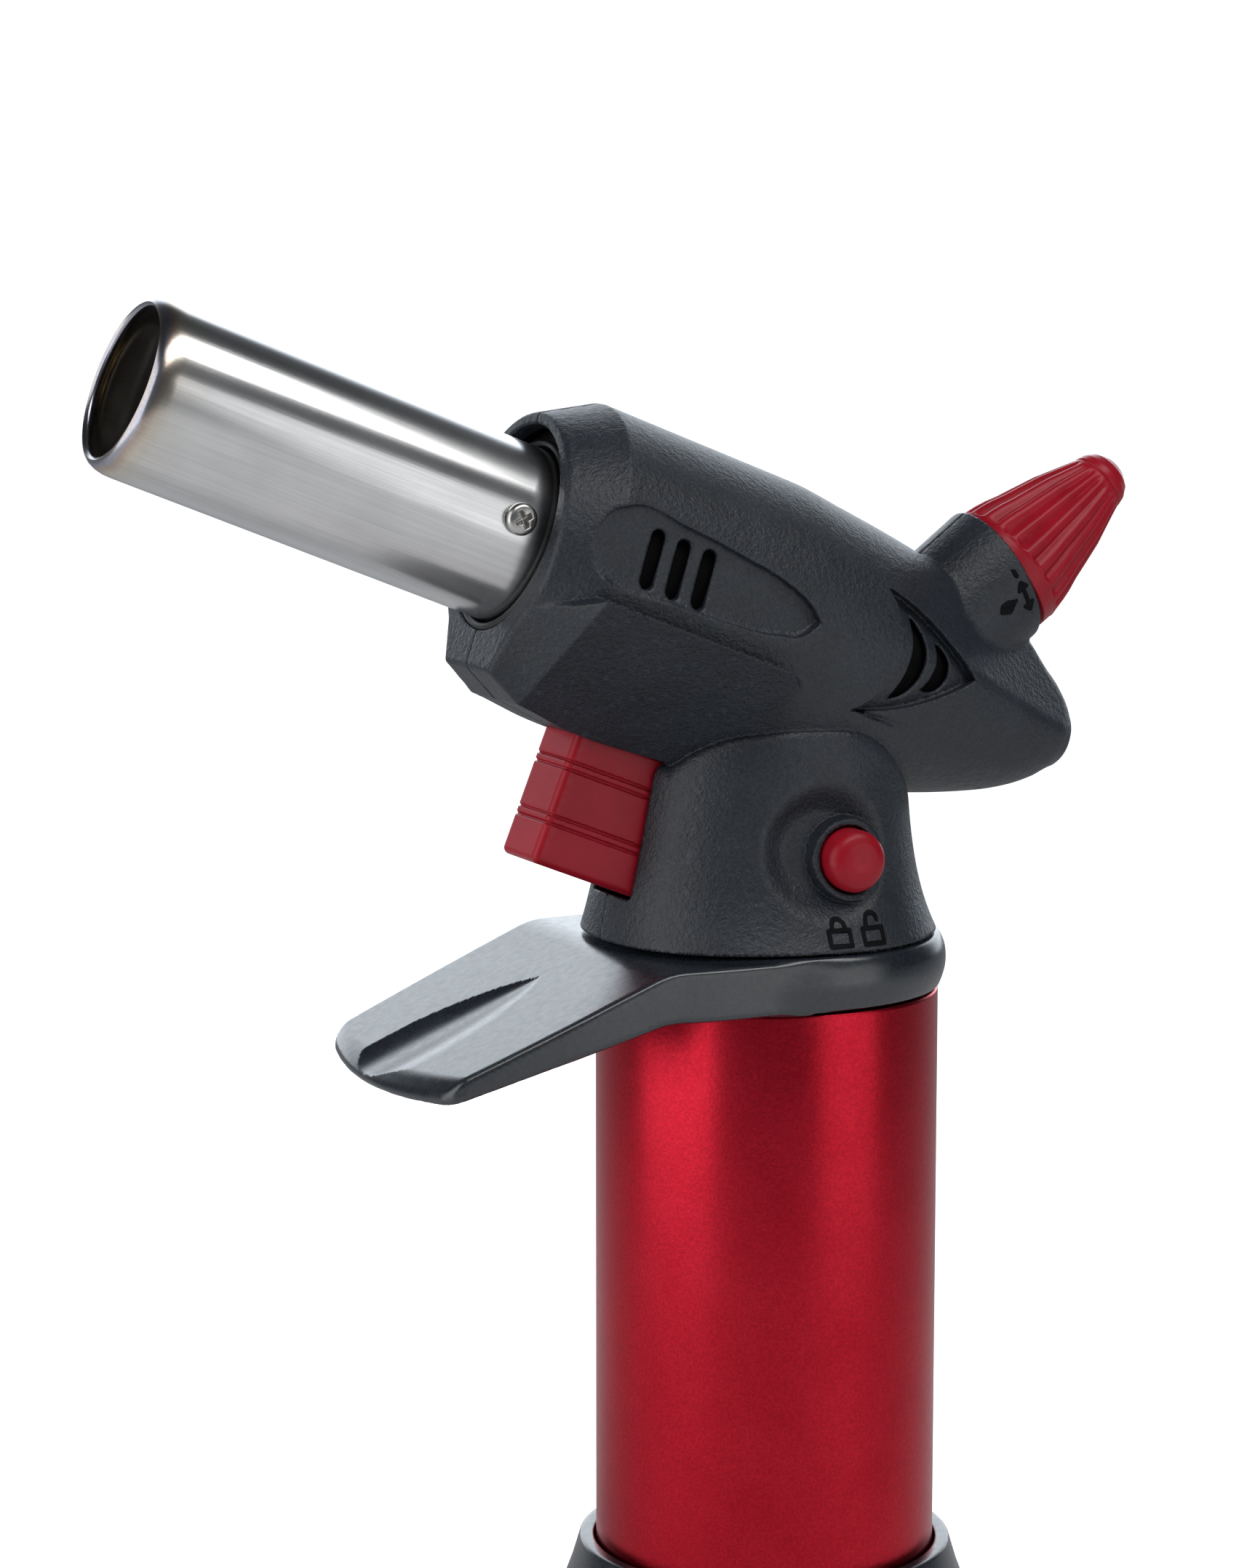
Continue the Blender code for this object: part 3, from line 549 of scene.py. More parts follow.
CHIN = smooth_profile(CHIN_DROP)
TOP, DEPTH, WIDTH, CENTRE = (smooth_profile(p) for p in (TAIL_TOP, TAIL_DEPTH, TAIL_WIDTH, TAIL_CENTRE))
SCALLOP_TOP, SCALLOP_FOOT = smooth_profile(SCALLOP_UPPER), smooth_profile(SCALLOP_LOWER)
GILL_CIRCLES = [circle_through(*p) for p in ((GILL_TOP, GILL_UPPER_MID, GILL_BACK),
                                             (GILL_BACK, GILL_LOWER_MID, GILL_LOW),
                                             (GILL_TOP, GILL_FRONT_MID, GILL_LOW))]
CRESCENT_CIRCLES = [(circle_through(top, front, low), circle_through(top, back, low))
                    for top, front, low, back in CRESCENTS]


def barrel_field(s, t, ay, inset=0.0):
    """The head round the nozzle: chamfered nose and chin in front, faceted tail behind."""
    radial, diagonal = np.hypot(t, ay), (ay - t) * HALF_ROOT2
    chin = deepest(diagonal - BARREL_R, -t - CHIN(s), t - CHIN_TOP, -s)
    section = np.minimum(radial - BARREL_R, chin)
    rim_chin = deepest(ay - (RIM_CHIN_HALF + RIM_CHIN_FLARE * (t + RIM_CHIN_DROP)), -t - RIM_CHIN_DROP,
                       t - RIM_CHIN_TOP)
    rim = np.minimum(np.maximum(radial - RIM_R, diagonal - RIM_DIAGONAL), rim_chin)
    morph = np.clip((s - CHAMFER_S) / (FRONT_S - CHAMFER_S), 0, 1.1)
    nose = (1 - morph) * section + morph * rim + inset
    nose = smooth_max(nose, s - FRONT_TILT * t - FRONT_S + inset, NOSE_EDGE)

    behind = s + TAIL_SHORTER * np.minimum(s - TAIL_SHORTER_FROM, 0)
    width, centre = WIDTH(behind), CENTRE(behind)
    half = np.where(t > centre, TOP(behind) - centre, DEPTH(behind) + centre)
    ring = np.sqrt((ay / width) ** 2 + ((t - centre) / half) ** 2)
    tail = np.maximum((ring - 1) * np.clip(np.minimum(width, half), 2, 20), TAIL_END - s) + inset
    for ns, nt, ny, offset, softness in TAIL_FACETS:
        tail = smooth_max(tail, ns * s + nt * t + ny * ay - offset + inset, softness)
    share = smooth_step(np.clip((s - TAIL_BLEND_S) / TAIL_BLEND_LENGTH, 0, 1))
    return (1 - share) * tail + share * nose


def handle_field(x, z, ay, inset=0.0):
    """The neck under the head, flared to the seam over the finger guard."""
    flare = np.exp(-np.maximum(z, -1) / NECK_FLARE)
    rear, width = (base + more * flare - inset for base, more in (NECK_REAR, NECK_HALF))
    front = NECK_FRONT[0] + NECK_FRONT[1] * z - inset
    dx = x - NECK_X
    reach = np.where(dx > 0, rear, front)
    power = np.where(dx > 0, NECK_REAR_POWER, NECK_FRONT_POWER)
    ring = ((np.abs(dx) / reach) ** power + (ay / width) ** power) ** (1 / power)
    _, t = to_head(x, z)
    return deepest((ring - 1) * np.minimum(reach, width), t - NECK_TOP)


def below_face(along, up):
    """Distance from the collar's slanted front face, negative inside the collar."""
    return (along + COLLAR_FACE - COLLAR_SLANT * up) * SLANT_COS


def collar_field(x, y, z, inset=0.0):
    """The socket of the gas knob: a tube with a slanted mouth, recessed for the knob's skirt."""
    along, up = to_knob(x, z)
    body = smooth_max(np.hypot(up - COLLAR_UP, y) - COLLAR_R, below_face(along, up), 0.4)
    body = smooth_max(body, -np.maximum(np.hypot(up, y) - SKIRT_HOLE_R, SKIRT_FLOOR - along), 0.15) + inset
    return np.maximum(body, COLLAR_BACK - along)


def gill_outline(s, t):
    """The pointed pocket round the gills, between three circles."""
    upper, lower, front = GILL_CIRCLES
    return deepest(disc(s, t, upper), disc(s, t, lower), -disc(s, t, front))


def crescents(s, t):
    """The two gills, each between a front and a back circle."""
    lenses = [np.maximum(-disc(s, t, front), disc(s, t, back)) for front, back in CRESCENT_CIRCLES]
    return np.minimum(*lenses)


def scallop_outline(s, t):
    """The leaf-shaped flat on each side of the nose, wide in front and pointed behind."""
    return deepest(t - SCALLOP_TOP(s), SCALLOP_FOOT(s) - t, SCALLOP_BACK - s)


def lock_moat(x, z):
    """Depth of the dimple that the lock button stands in, for a finger tip."""
    fall = np.clip((MOAT_R - np.hypot(x - MOAT_X, z - MOAT_Z)) / MOAT_SLOPE, 0, 1)
    return MOAT_DEPTH * smooth_step(fall)


def outer_field(x, y, z, side):
    """Outside of the head shell. Side is -1 for the lock button's half and 1 for the screws' half."""
    ay = np.abs(y)
    s, t = to_head(x, z)
    head = barrel_field(s, t, ay)
    flat = (SCALLOP_FLAT - 0.006 * (s - 20) + 0.012 * (t - 2.4) ** 2
            - (math.sin(SCALLOP_TILT) * t + math.cos(SCALLOP_TILT) * ay))
    head = carve(head, scallop_outline(s, t), flat, 0.25, 1.0)
    head = carve(head, np.where(s < 0, gill_outline(s, t), FAR), -(head + GILL_DEPTH), 0.12, 0.3)
    valley_t = VALLEY_T - 0.02 * (s + 8)
    valley = np.abs(t - valley_t + 0.05 * (s + 6)) - np.clip(-(s + 6.2) * 0.09, 0, 1.0)
    valley_depth = np.clip((s + 17.0) * 0.12, 0, VALLEY_DEPTH) * np.clip(-(s + 5.5) * 0.6, 0, 1)
    head = carve(head, np.where(s < VALLEY_FRONT, valley, FAR), -(head + valley_depth), 0.4, 1.2)
    head = smooth_min(head, collar_field(x, y, z), 0.6)
    neck = handle_field(x, z, ay)
    if side < 0:
        reach = np.hypot(x - LOCK_X, z - LOCK_Z)
        rim = np.clip((LOCK_RIM_R - reach) / 0.35, 0, 1)
        neck = neck + lock_moat(x, z) * (1 - rim) + 0.15 * rim
    neck = smooth_max(neck, -(head + 0.5), 3.0)
    return smooth_max(smooth_min(head, neck, 0.25), FOOT_Z - z, 0.4)


def cavity_field(x, y, z, side):
    """Room inside the head shell."""
    ay = np.abs(y)
    s, t = to_head(x, z)
    along, up = to_knob(x, z)
    neck = handle_field(x, z, ay, SHELL_WALL)
    if side < 0:
        neck = neck + 1.1 * lock_moat(x, z) * (y < 0)
    room = np.minimum(barrel_field(s, t, ay, SHELL_WALL), neck)
    bore = deepest(np.hypot(up, y) - COLLAR_BORE, along + COLLAR_BOTTOM, COLLAR_BACK - along)
    room = np.minimum(room, bore)
    return np.maximum(room, FOOT_Z + SHELL_WALL - z)


def opening_field(x, y, z):
    """Everything that goes right through the wall on both sides."""
    ay = np.abs(y)
    s, t = to_head(x, z)
    along, up = to_knob(x, z)
    mouth = deepest(np.hypot(t - MOUTH_T, y) - MOUTH_R, MOUTH_S - s)
    (ds, hs), (dt, ht) = middle_of(s, TRIGGER_SLOT_S), middle_of(t, TRIGGER_SLOT_T)
    slot = rounded_box((ds, dt, ay), (hs, ht, TRIGGER_SLOT_HALF), 0.8)
    (ds, hs), (dt, ht) = middle_of(s, TRIGGER_ROOF_S), middle_of(t, TRIGGER_ROOF_T)
    roof = deepest(np.abs(ds) - hs, np.abs(dt) - ht, ay - TRIGGER_SLOT_HALF)
    rise = np.maximum(np.abs(t - VENT_T) - VENT_HALF, 0)
    slats = np.minimum.reduce([np.hypot(s - at, rise) - VENT_R for at in VENT_S])
    slats = np.maximum(slats, VENT_DEEP - ay)
    gills = deepest(np.where(s < 0, crescents(s, t), FAR), GILL_DEEP - ay)
    spindle = np.maximum(np.hypot(up, y) - SPINDLE_HOLE_R, np.abs(along) - 5)
    neck = np.maximum(np.hypot(x, y) - TANK_NECK_R, np.abs(z) - 4)
    return np.minimum.reduce([mouth, slot, roof, slats, gills, spindle, neck])


def boss_field(x, z, screws):
    """Solid posts behind the shell screws."""
    posts = [np.hypot(x - sx, z - sz) - BOSS_R for sx, sz, _, _ in screws]
    return np.minimum.reduce(posts)


def shell_field(side, screws):
    """The field of one half of the head shell."""

    def field(x, y, z):
        outer = outer_field(x, y, z, side)
        room = np.maximum(cavity_field(x, y, z, side), -boss_field(x, z, screws))
        solid = smooth_max(outer, -room, 0.2)
        solid = smooth_max(solid, -opening_field(x, y, z), 0.35)
        if side < 0:
            hole = np.maximum(np.hypot(x - LOCK_X, z - LOCK_Z) - LOCK_HOLE_R, y + 8)
            solid = smooth_max(solid, -hole, 0.3)
        else:
            for sx, sz, seat, _ in screws:
                well = np.maximum(np.hypot(x - sx, z - sz) - SCREW_SEAT_R, seat - y)
                solid = smooth_max(solid, -well, 0.25)
        for sx, sz, _, foot in screws:
            solid = np.maximum(solid, -np.maximum(np.hypot(x - sx, z - sz) - SCREW_HOLE_R, foot - 0.3 - y))
        return smooth_max(solid, SEAM_GAP - side * y, 0.15)

    return field


def contour(field, low, high, cell):
    """Quads of a field's zero surface by surface nets, moved onto the surface, with its normals."""
    low, high = np.array(low, float), np.array(high, float)
    counts = np.ceil((high - low) / cell).astype(int) + 1
    axes = [low[i] + cell * np.arange(counts[i]) for i in range(3)]
    values = np.empty(counts)
    slab = 24
    for i in range(0, counts[0], slab):
        x, y, z = np.meshgrid(axes[0][i:i + slab], axes[1], axes[2], indexing="ij")
        values[i:i + slab] = field(x, y, z)
    inside = values < 0
    total = sum(inside[a:counts[0] - 1 + a, b:counts[1] - 1 + b, c:counts[2] - 1 + c].astype(np.int8)
                for a in (0, 1) for b in (0, 1) for c in (0, 1))
    active = np.argwhere((total > 0) & (total < 8))
    ids = np.full(total.shape, -1)
    ids[tuple(active.T)] = np.arange(len(active))

    sums, hits = np.zeros((len(active), 3)), np.zeros(len(active))
    for axis in range(3):
        others = [k for k in range(3) if k != axis]
        for p in (0, 1):
            for q in (0, 1):
                start = np.zeros(3, int)
                start[others[0]], start[others[1]] = p, q
                end = start.copy()
                end[axis] = 1
                v0, v1 = values[tuple((active + start).T)], values[tuple((active + end).T)]
                crossing = (v0 < 0) != (v1 < 0)
                part = np.where(crossing, v0 / np.where(crossing, v0 - v1, 1), 0)
                sums += crossing[:, None] * (start + part[:, None] * (end - start))
                hits += crossing
    points = low + cell * (active + sums / hits[:, None])

    faces = []
    for axis in range(3):
        b, c = (axis + 1) % 3, (axis + 2) % 3
        lower = [slice(1, n - 1) for n in counts]
        lower[axis] = slice(0, counts[axis] - 1)
        upper = list(lower)
        upper[axis] = slice(1, counts[axis])
        first, second = inside[tuple(lower)], inside[tuple(upper)]
        edges = np.argwhere(first != second)
        offset = np.array([1, 1, 1])
        offset[axis] = 0
        outward = first[tuple(edges.T)]
        edges = edges + offset
        step_b, step_c = np.eye(3, dtype=int)[b], np.eye(3, dtype=int)[c]
        corners = [ids[tuple((edges - shift).T)] for shift in (step_b + step_c, step_c, 0 * step_b, step_b)]
        quads = np.stack(corners, 1)
        quads[~outward] = quads[~outward][:, ::-1]
        faces.append(quads)
    faces = np.concatenate(faces)

    def gradient(p, delta):
        parts = []
        for axis in range(3):
            step = np.zeros(3)
            step[axis] = delta
            parts.append(field(*(p + step).T) - field(*(p - step).T))
        return np.stack(parts, 1) / (2 * delta)

    for _ in range(4):
        slope = gradient(points, cell * 0.2)
        size = np.maximum((slope ** 2).sum(1), 0.05)
        move = -(field(*points.T) / size)[:, None] * slope
        length = np.linalg.norm(move, axis=1, keepdims=True)
        points = points + move * np.minimum(1, 0.4 * cell / np.maximum(length, 1e-9))
    slope = gradient(points, cell * 0.3)
    normals = slope / np.maximum(np.linalg.norm(slope, axis=1, keepdims=True), 1e-9)
    return points, faces, normals


def net_piece(name, field, low, high, cell, slot, body, replaces=(), material=None):
    points, faces, normals = contour(field, low, high, cell)
    return add_mesh(name, points, faces, slot, body, replaces, normals, material)


# ---------------------------------------------------------------- the pieces
SHELL_SCREWS = ("shell_screw_chin", "shell_screw_tail", "shell_screw_crown", "shell_screw_heel")
SCREW_HEAD_R, SCREW_HEAD_HIGH, SCREW_SHANK_R, SCREW_TURN = 2.5, 1.8, 1.2, math.radians(24)
NOZZLE_SCREW_HEAD_R, NOZZLE_SCREW_HEAD_HIGH, NOZZLE_SCREW_SHANK_R = 2.1, 1.4, 1.1


def tank_box(node):
    """A CAD node's box at rest in the tank frame, mm."""
    low, high = (np.array(corner) / MM - (TANK_X, 0, SEAM_Z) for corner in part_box(node))
    return low, high


def shell_screw_places():
    """(x, z, seat, foot) of each shell screw, from its CAD node."""
    places = []
    for node in SHELL_SCREWS:
        low, high = tank_box(node)
        places.append(((low[0] + high[0]) / 2, (low[2] + high[2]) / 2, high[1] - SCREW_HEAD_HIGH, low[1]))
    return places


def make_shells():
    screws = shell_screw_places()
    pad = 3 * SHELL_CELL
    for name, side in (("shell_left", -1), ("shell_right", 1)):
        box_low, box_high = tank_box(name)
        reach = max(abs(box_low[1]), abs(box_high[1])) + 2.5
        low = np.array((box_low[0] - pad - 1.5, -reach if side < 0 else -0.3, box_low[2] - pad))
        high = np.array((box_high[0] + pad + 1.5, 0.3 if side < 0 else reach, box_high[2] + pad + 1.0))
        net_piece(name + "_skin", shell_field(side, screws), low, high, SHELL_CELL, "shell_plastic", "handle",
                  (name,))


def screw_field(seat, foot, head_r, head_high, shank_r):
    """A pan-head screw along +Y at x = z = 0, with a cross recess."""
    dome_r, arm_half, arm_long = 2.2 * head_r, 0.2 * head_r, 0.62 * head_r

    def field(x, y, z):
        radial = np.hypot(x, z)
        dome = np.hypot(radial, y - (seat + head_high - dome_r)) - dome_r
        head = smooth_max(smooth_max(radial - head_r, dome, 0.5), seat - y, 0.2)
        arm = np.minimum(np.maximum(np.abs(x) - arm_half, np.abs(z) - arm_long),
                         np.maximum(np.abs(z) - arm_half, np.abs(x) - arm_long))
        taper = 0.35 * np.maximum(seat + head_high - y, 0)
        head = smooth_max(head, -np.maximum(arm + taper, seat + 0.3 * head_high - y), 0.12)
        shank = deepest(radial - shank_r, foot - y, y - seat - 0.2)
        return np.minimum(head, shank)

    return field


def make_screw(node, side, centre, seat, foot, head_r, head_high, shank_r):
    """One screw in its CAD node's place, its head on the given side."""
    base = screw_field(seat, foot, head_r, head_high, shank_r)
    cx, cz = centre
    ct, st = math.cos(SCREW_TURN), math.sin(SCREW_TURN)

    def field(x, y, z):
        dx, dz = x - cx, z - cz
        return base(dx * ct + dz * st, side * y, dz * ct - dx * st)

    reach = head_r + 0.5
    ends = sorted((side * (foot - 0.4), side * (seat + head_high + 0.5)))
    net_piece(node + "_head", field, (cx - reach, ends[0], cz - reach), (cx + reach, ends[1], cz + reach),
              SCREW_CELL, "screw_steel", "handle", (node,))


# painted shade: (s, t) spans of the near-black sheets behind the gills and the slats
SHADE_SHEET_PANES = (((-21.5, -9.5), (-4.5, 9.5)), ((18.5, 31.0), (-2.5, 6.8)))


def make_shade_sheets():
    """Painted shade: near-black sheets just inside the shell, behind the gills and the slats, that keep the
    openings dark.
    """
    for name, side in (("vent_shade_sheet_left", -1), ("vent_shade_sheet_right", 1)):
        parts, count = [], 0
        for (s0, s1), (t0, t1) in SHADE_SHEET_PANES:

            def field(x, y, z):
                s, t = to_head(x, z)
                inner = barrel_field(s, t, np.abs(y), SHELL_WALL)
                (ds, hs), (dt, ht) = middle_of(s, (s0, s1)), middle_of(t, (t0, t1))
                pane = rounded_box((ds, dt), (hs, ht), 1.0)
                return deepest(inner + 0.35, -(inner + 0.85), pane, 8 - side * y)

            corners = np.array([head_point(s, t) for s in (s0, s1) for t in (t0, t1)])
            low, high = corners.min(0) - 1, corners.max(0) + 1
            low[1], high[1] = sorted((side * 7.0, side * 18.5))
            points, faces, _ = contour(field, low, high, SHADE_SHEET_CELL)
            parts.append((points, faces + count))
            count += len(points)
        add_mesh(name, np.concatenate([p for p, _ in parts]), np.concatenate([f for _, f in parts]),
                 "collar_black", "handle", material=MATERIALS["shade_sheet"])


def make_screws():
    for node, (cx, cz, seat, foot) in zip(SHELL_SCREWS, shell_screw_places()):
        make_screw(node, 1, (cx, cz), seat, foot, SCREW_HEAD_R, SCREW_HEAD_HIGH, SCREW_SHANK_R)
    for node, side in (("nozzle_screw_left", -1), ("nozzle_screw_right", 1)):
        low, high = tank_box(node)
        centre = ((low[0] + high[0]) / 2, (low[2] + high[2]) / 2)
        top, foot = max(abs(low[1]), abs(high[1])), min(abs(low[1]), abs(high[1]))
        make_screw(node, side, centre, top - NOZZLE_SCREW_HEAD_HIGH, foot, NOZZLE_SCREW_HEAD_R,
                   NOZZLE_SCREW_HEAD_HIGH, NOZZLE_SCREW_SHANK_R)


GUARD_SLOPE, GUARD_BEND, GUARD_LEVEL = math.tan(math.radians(22.6)), -25, -0.5
GUARD_TIP, GUARD_CORNER, GUARD_BORE, GUARD_SOCKET, GUARD_RING_FOOT = -57.5, -54.9, 20.8, 23.1, -7.35
GUARD_POCKET_X, GUARD_POCKET, GUARD_POCKET_END = -38, (10, 17.5, 1.6), 25.5
TROUGH_WIDEST, TROUGH_REACH, TROUGH_Y, TROUGH_HALF, TROUGH_DEPTH = -52.0, 18.5, -0.4, 7.8, 1.3
GUARD_WIDTH = smooth_profile(((-60, 19.6), (-57.5, 20.0), (-40, 21.8), (-25, 22.5), (-14, 22.9), (-6, 22.6),
                              (0, 21.8), (8, 20.0)))
GUARD_DEPTH = smooth_profile(((-60, 2.4), (-56, 2.7), (-45, 4.0), (-34, 5.5), (-25, 6.6), (-10, 6.8),
                              (8, 6.8)))
RING_R = smooth_profile(((-8.0, 22.9), (-7.3, 23.1), (-6.0, 23.6), (-4.6, 23.95), (-3.2, 24.0), (-1.7, 23.75),
                         (-0.7, 23.3), (0.2, 22.7)))


def guard_top(x):
    """Height of the plate's upper face, level at the ring and sloping down in front."""
    return GUARD_LEVEL - smooth_max(GUARD_SLOPE * (GUARD_BEND - x), 0 * x, 0.9)


def guard_field(x, y, z):
    """Finger guard: a ring round the tank's shoulder and a plate that slopes down in front of the trigger."""
    ay = np.abs(y)
    radial = np.hypot(x, y)
    ring = smooth_max(smooth_max(radial - RING_R(z), z + 0.1, 0.7), -7.3 - z, 0.4)
    top = guard_top(x)
    tip = GUARD_TIP + 2.9 * (ay / 20.0) ** 2 - x
    corner = (ay + (GUARD_CORNER - x) * 0.9 - 19.4) * 0.75
    outline = smooth_max(smooth_max(ay - GUARD_WIDTH(x), tip, 0.8), corner, 0.8)
    bevel = (tip + 1.6) * 0.6 + (z - top) * 0.8
    surface = smooth_max(smooth_max(z - top, outline, 0.9), bevel, 0.5)
    leaf = (1 - np.clip((x - TROUGH_WIDEST) / TROUGH_REACH, 0, 1) ** 2) ** 0.8
    half = TROUGH_HALF * leaf
    across = np.clip((y - TROUGH_Y + half) / (2 * half + 1e-6), 0, 1)
    sag = TROUGH_DEPTH * leaf * 6.75 * across ** 2 * (1 - across)
    trough = np.where(leaf > 0, deepest(top - sag - z, np.abs(y - TROUGH_Y) - half), FAR)
    surface = np.maximum(surface, -trough)
    under = top - GUARD_DEPTH(x) - z
    plate = smooth_max(np.maximum(surface, x - 4), under, 0.8)
    pocket = rounded_box((x - GUARD_POCKET_X, y, z - (top - GUARD_DEPTH(x))), GUARD_POCKET, 0.8)
    plate = smooth_max(plate, -np.maximum(pocket, GUARD_POCKET_END - radial), 0.3)
    body = smooth_min(ring, plate, 1.6)
    body = smooth_max(body, z + 0.1, 0.3)
    body = smooth_max(body, -np.maximum(radial - GUARD_SOCKET, z - GUARD_RING_FOOT), 0.2)
    return smooth_max(body, GUARD_BORE - radial, 0.3)


def make_guard():
    low, high = tank_box("finger_guard")
    pad = 3 * GUARD_CELL
    net_piece("finger_guard_body", guard_field, low - pad, high + pad, GUARD_CELL, "guard_black", "handle",
              ("finger_guard",))


# the pad and its post: (s, t) of the middle, half sizes, rounding of the edges
TRIGGER_PAD, TRIGGER_POST = (14.35, -29.45, (9.65, 9.45, 5.3), 0.9), (6.55, -22.0, (1.85, 12.4, 4.35), 0.4)
TRIGGER_GROOVES, GROOVE_STEP, GROOVE_HALF, GROOVE_DEPTH = (-24.9, -32.3), 1.1, 0.16, 0.3


def trigger_field(x, y, z):
    """Trigger pad with two stepped bands across it, on its post."""
    s, t = to_head(x, z)
    ay = np.abs(y)
    pad, post = (rounded_box((s - mid_s, t - mid_t, ay), halves, radius)
                 for mid_s, mid_t, halves, radius in (TRIGGER_PAD, TRIGGER_POST))
    body = smooth_min(smooth_max(pad, t - TRIGGER_PAD_TOP, 0.4), post, 0.8)
    for at in TRIGGER_GROOVES:
        for line in (at, at - GROOVE_STEP):
            body = carve(body, np.abs(t - line) - GROOVE_HALF, -(body + GROOVE_DEPTH), 0.15, 0.15)
    return body


def make_trigger():
    low, high = tank_box("trigger")
    pad = 3 * TRIGGER_CELL
    net_piece("trigger_pad", trigger_field, low - pad, high + pad, TRIGGER_CELL, "red_plastic", "trigger",
              ("trigger",))


KNOB_PROFILE = ((-1.75, 2.6), (-1.75, 8.9), (-1.6, 9.08), (0.2, 9.1), (0.5, 9.2), (2.5, 8.85), (4.0, 8.5),
                (5.9, 7.9), (8.5, 7.25), (11.8, 6.4), (14.8, 5.35), (17.4, 4.45), (17.9, 4.3), (18.1, 4.12),
                (18.3, 4.25), (19.3, 4.0), (20.4, 3.3), (21.3, 2.1), (21.7, 1.0), (21.72, 0.01))
KNOB_FLUTES, KNOB_FLUTE_DEPTH, KNOB_SIDES, KNOB_RINGS = 20, 0.75, 480, 110
FLUTES_START, FLUTES_END = 0.4, 17.7
KNOB_BORE = ((14.0, 2.6), (14.0, 0.01))


def make_knob():
    """The gas knob: a smooth ring, tapered flutes and a smooth cap, lofted ring by ring."""
    along, radius = np.array(KNOB_PROFILE, float).T
    travel = np.concatenate(([0], np.cumsum(np.hypot(np.diff(along), np.diff(radius)))))
    fine = np.unique(np.concatenate((travel, np.linspace(0, travel[-1], KNOB_RINGS))))
    points = []
    for s, r in zip(np.interp(fine, travel, along), np.interp(fine, travel, radius)):
        fade = np.clip((s - FLUTES_START) / 0.5, 0, 1) * np.clip(FLUTES_END - s, 0, 1)
        taper = 0.35 + 0.65 * np.clip((FLUTES_END - s) / 15, 0, 1)
        for k in range(KNOB_SIDES):
            angle = 2 * math.pi * k / KNOB_SIDES
            wave = 0.5 + 0.5 * math.cos(KNOB_FLUTES * angle)
            cut = KNOB_FLUTE_DEPTH * taper * fade * (1 - wave ** 0.6)
            points.append(knob_point(s, max(r - cut, 0.01), angle))
    rows = len(fine)
    bore = [knob_point(s, r, 2 * math.pi * k / KNOB_SIDES) for s, r in KNOB_BORE for k in range(KNOB_SIDES)]
    points = bore[::-1][:KNOB_SIDES] + bore[:KNOB_SIDES] + points
    piece = add_mesh("gas_knob_fluted", points, grid_faces(rows + 2, KNOB_SIDES), "red_plastic", "knob",
                     ("gas_knob",))
    face_outward(piece)
    sharpen(piece, 50)


BURNER_LIP = ((11.68, 34.0), (11.68, 93.0), (11.62, 94.0), (11.42, 94.9), (11.1, 95.6), (10.7, 96.05),
              (10.35, 96.2), (10.0, 96.0), (9.85, 95.6), (10.0, 95.1), (10.5, 94.5), (10.85, 93.8),
              (10.98, 92.8), (10.98, 34.0))
INNER_LIP = ((8.0, 52.0), (8.0, 88.7), (7.85, 89.0), (7.55, 89.0), (7.4, 88.7), (7.4, 52.0))
NOZZLE_RING = ((12.0, 34.5), (15.3, 34.5), (15.3, 38.2), (13.0, 38.2), (13.0, 40.0), (12.7, 40.3),
               (12.3, 40.3), (12.0, 40.0))
TANK_WALL = ((9.0, -4.0), (9.0, -1.5), (20.5, -1.5), (20.5, -7.6), (23.0, -7.6), (23.0, -95.0), (21.8, -95.0),
             (21.8, -8.8), (19.3, -8.8), (19.3, -4.0))
LOCK_CAP = ((0.01, 22.0), (1.4, 21.93), (2.6, 21.68), (3.4, 21.3), (3.85, 20.85), (LOCK_R, 20.2),
            (LOCK_R, 14.9), (4.7, 14.9), (4.7, 13.9), (1.3, 13.9), (1.3, 5.5), (0.01, 5.5))
# heights of these two start at the floor
CUP_WALL = ((10.0, 5.0), (22.5, 5.0), (24.0, 1.9), (30.6, 1.9), (31.0, 2.5), (30.6, 5.0), (28.4, 10.6),
            (26.4, 16.0), (25.2, 20.0), (23.3, 20.0), (23.3, 8.7), (10.0, 8.7))
FOOT_RING = ((24.5, 0.0), (30.4, 0.0), (30.4, 1.6), (24.5, 1.6))


def from_seam(profile):
    return [(radius, height - SEAM_Z) for radius, height in profile]


def make_round_parts():
    """The lock button, tubes, nozzle ring, tank, base cup and foot ring."""
    rounded = rounded_profile
    turned("lock_button_cap", rounded(LOCK_CAP, 0.15, 2), "red_plastic", "lock", ("lock_button",), 96, "lock")
    turned("burner_tube_skin", BURNER_LIP, "tube_steel", "handle", ("burner_tube",), 160, "head")
    turned("inner_tube_skin", INNER_LIP, "dark_steel", "handle", ("inner_tube",), 120, "head")
    turned("nozzle_collar_skin", rounded(NOZZLE_RING, 0.3), "collar_black", "handle", ("nozzle_collar",), 128,
           "head")
    turned("fuel_tank_skin", rounded(TANK_WALL, 0.5), "tank_red", "handle", ("fuel_tank",), 192)
    turned("base_cup_skin", from_seam(rounded(CUP_WALL, 0.45)), "guard_black", "handle", ("base_cup",), 160)
    turned("foot_ring_skin", from_seam(rounded(FOOT_RING, 0.3)), "rubber", "handle", ("foot_ring",), 160)


# node, joint, the way it stands, length, coil radius, wire radius, turns, the joint's travel
SPRINGS = (("lock_spring", "lock_press", (0, 1, 0), 4.8, 2.4, 0.3, 4, 2.5),
           ("valve_spring", "stem_lift", (0, 0, 1), 4.1, 1.75, 0.25, 4, 1.4),
           ("igniter_spring", "trigger_pull", (COS_H, 0, -SIN_H), 8.1, 1.9, 0.3, 5, 5.0),
           ("fill_valve_spring", "filler_press", (0, 0, 1), 8.6, 2.0, 0.3, 5, 2.0))
COIL_STEPS, WIRE_SIDES = 24, 8


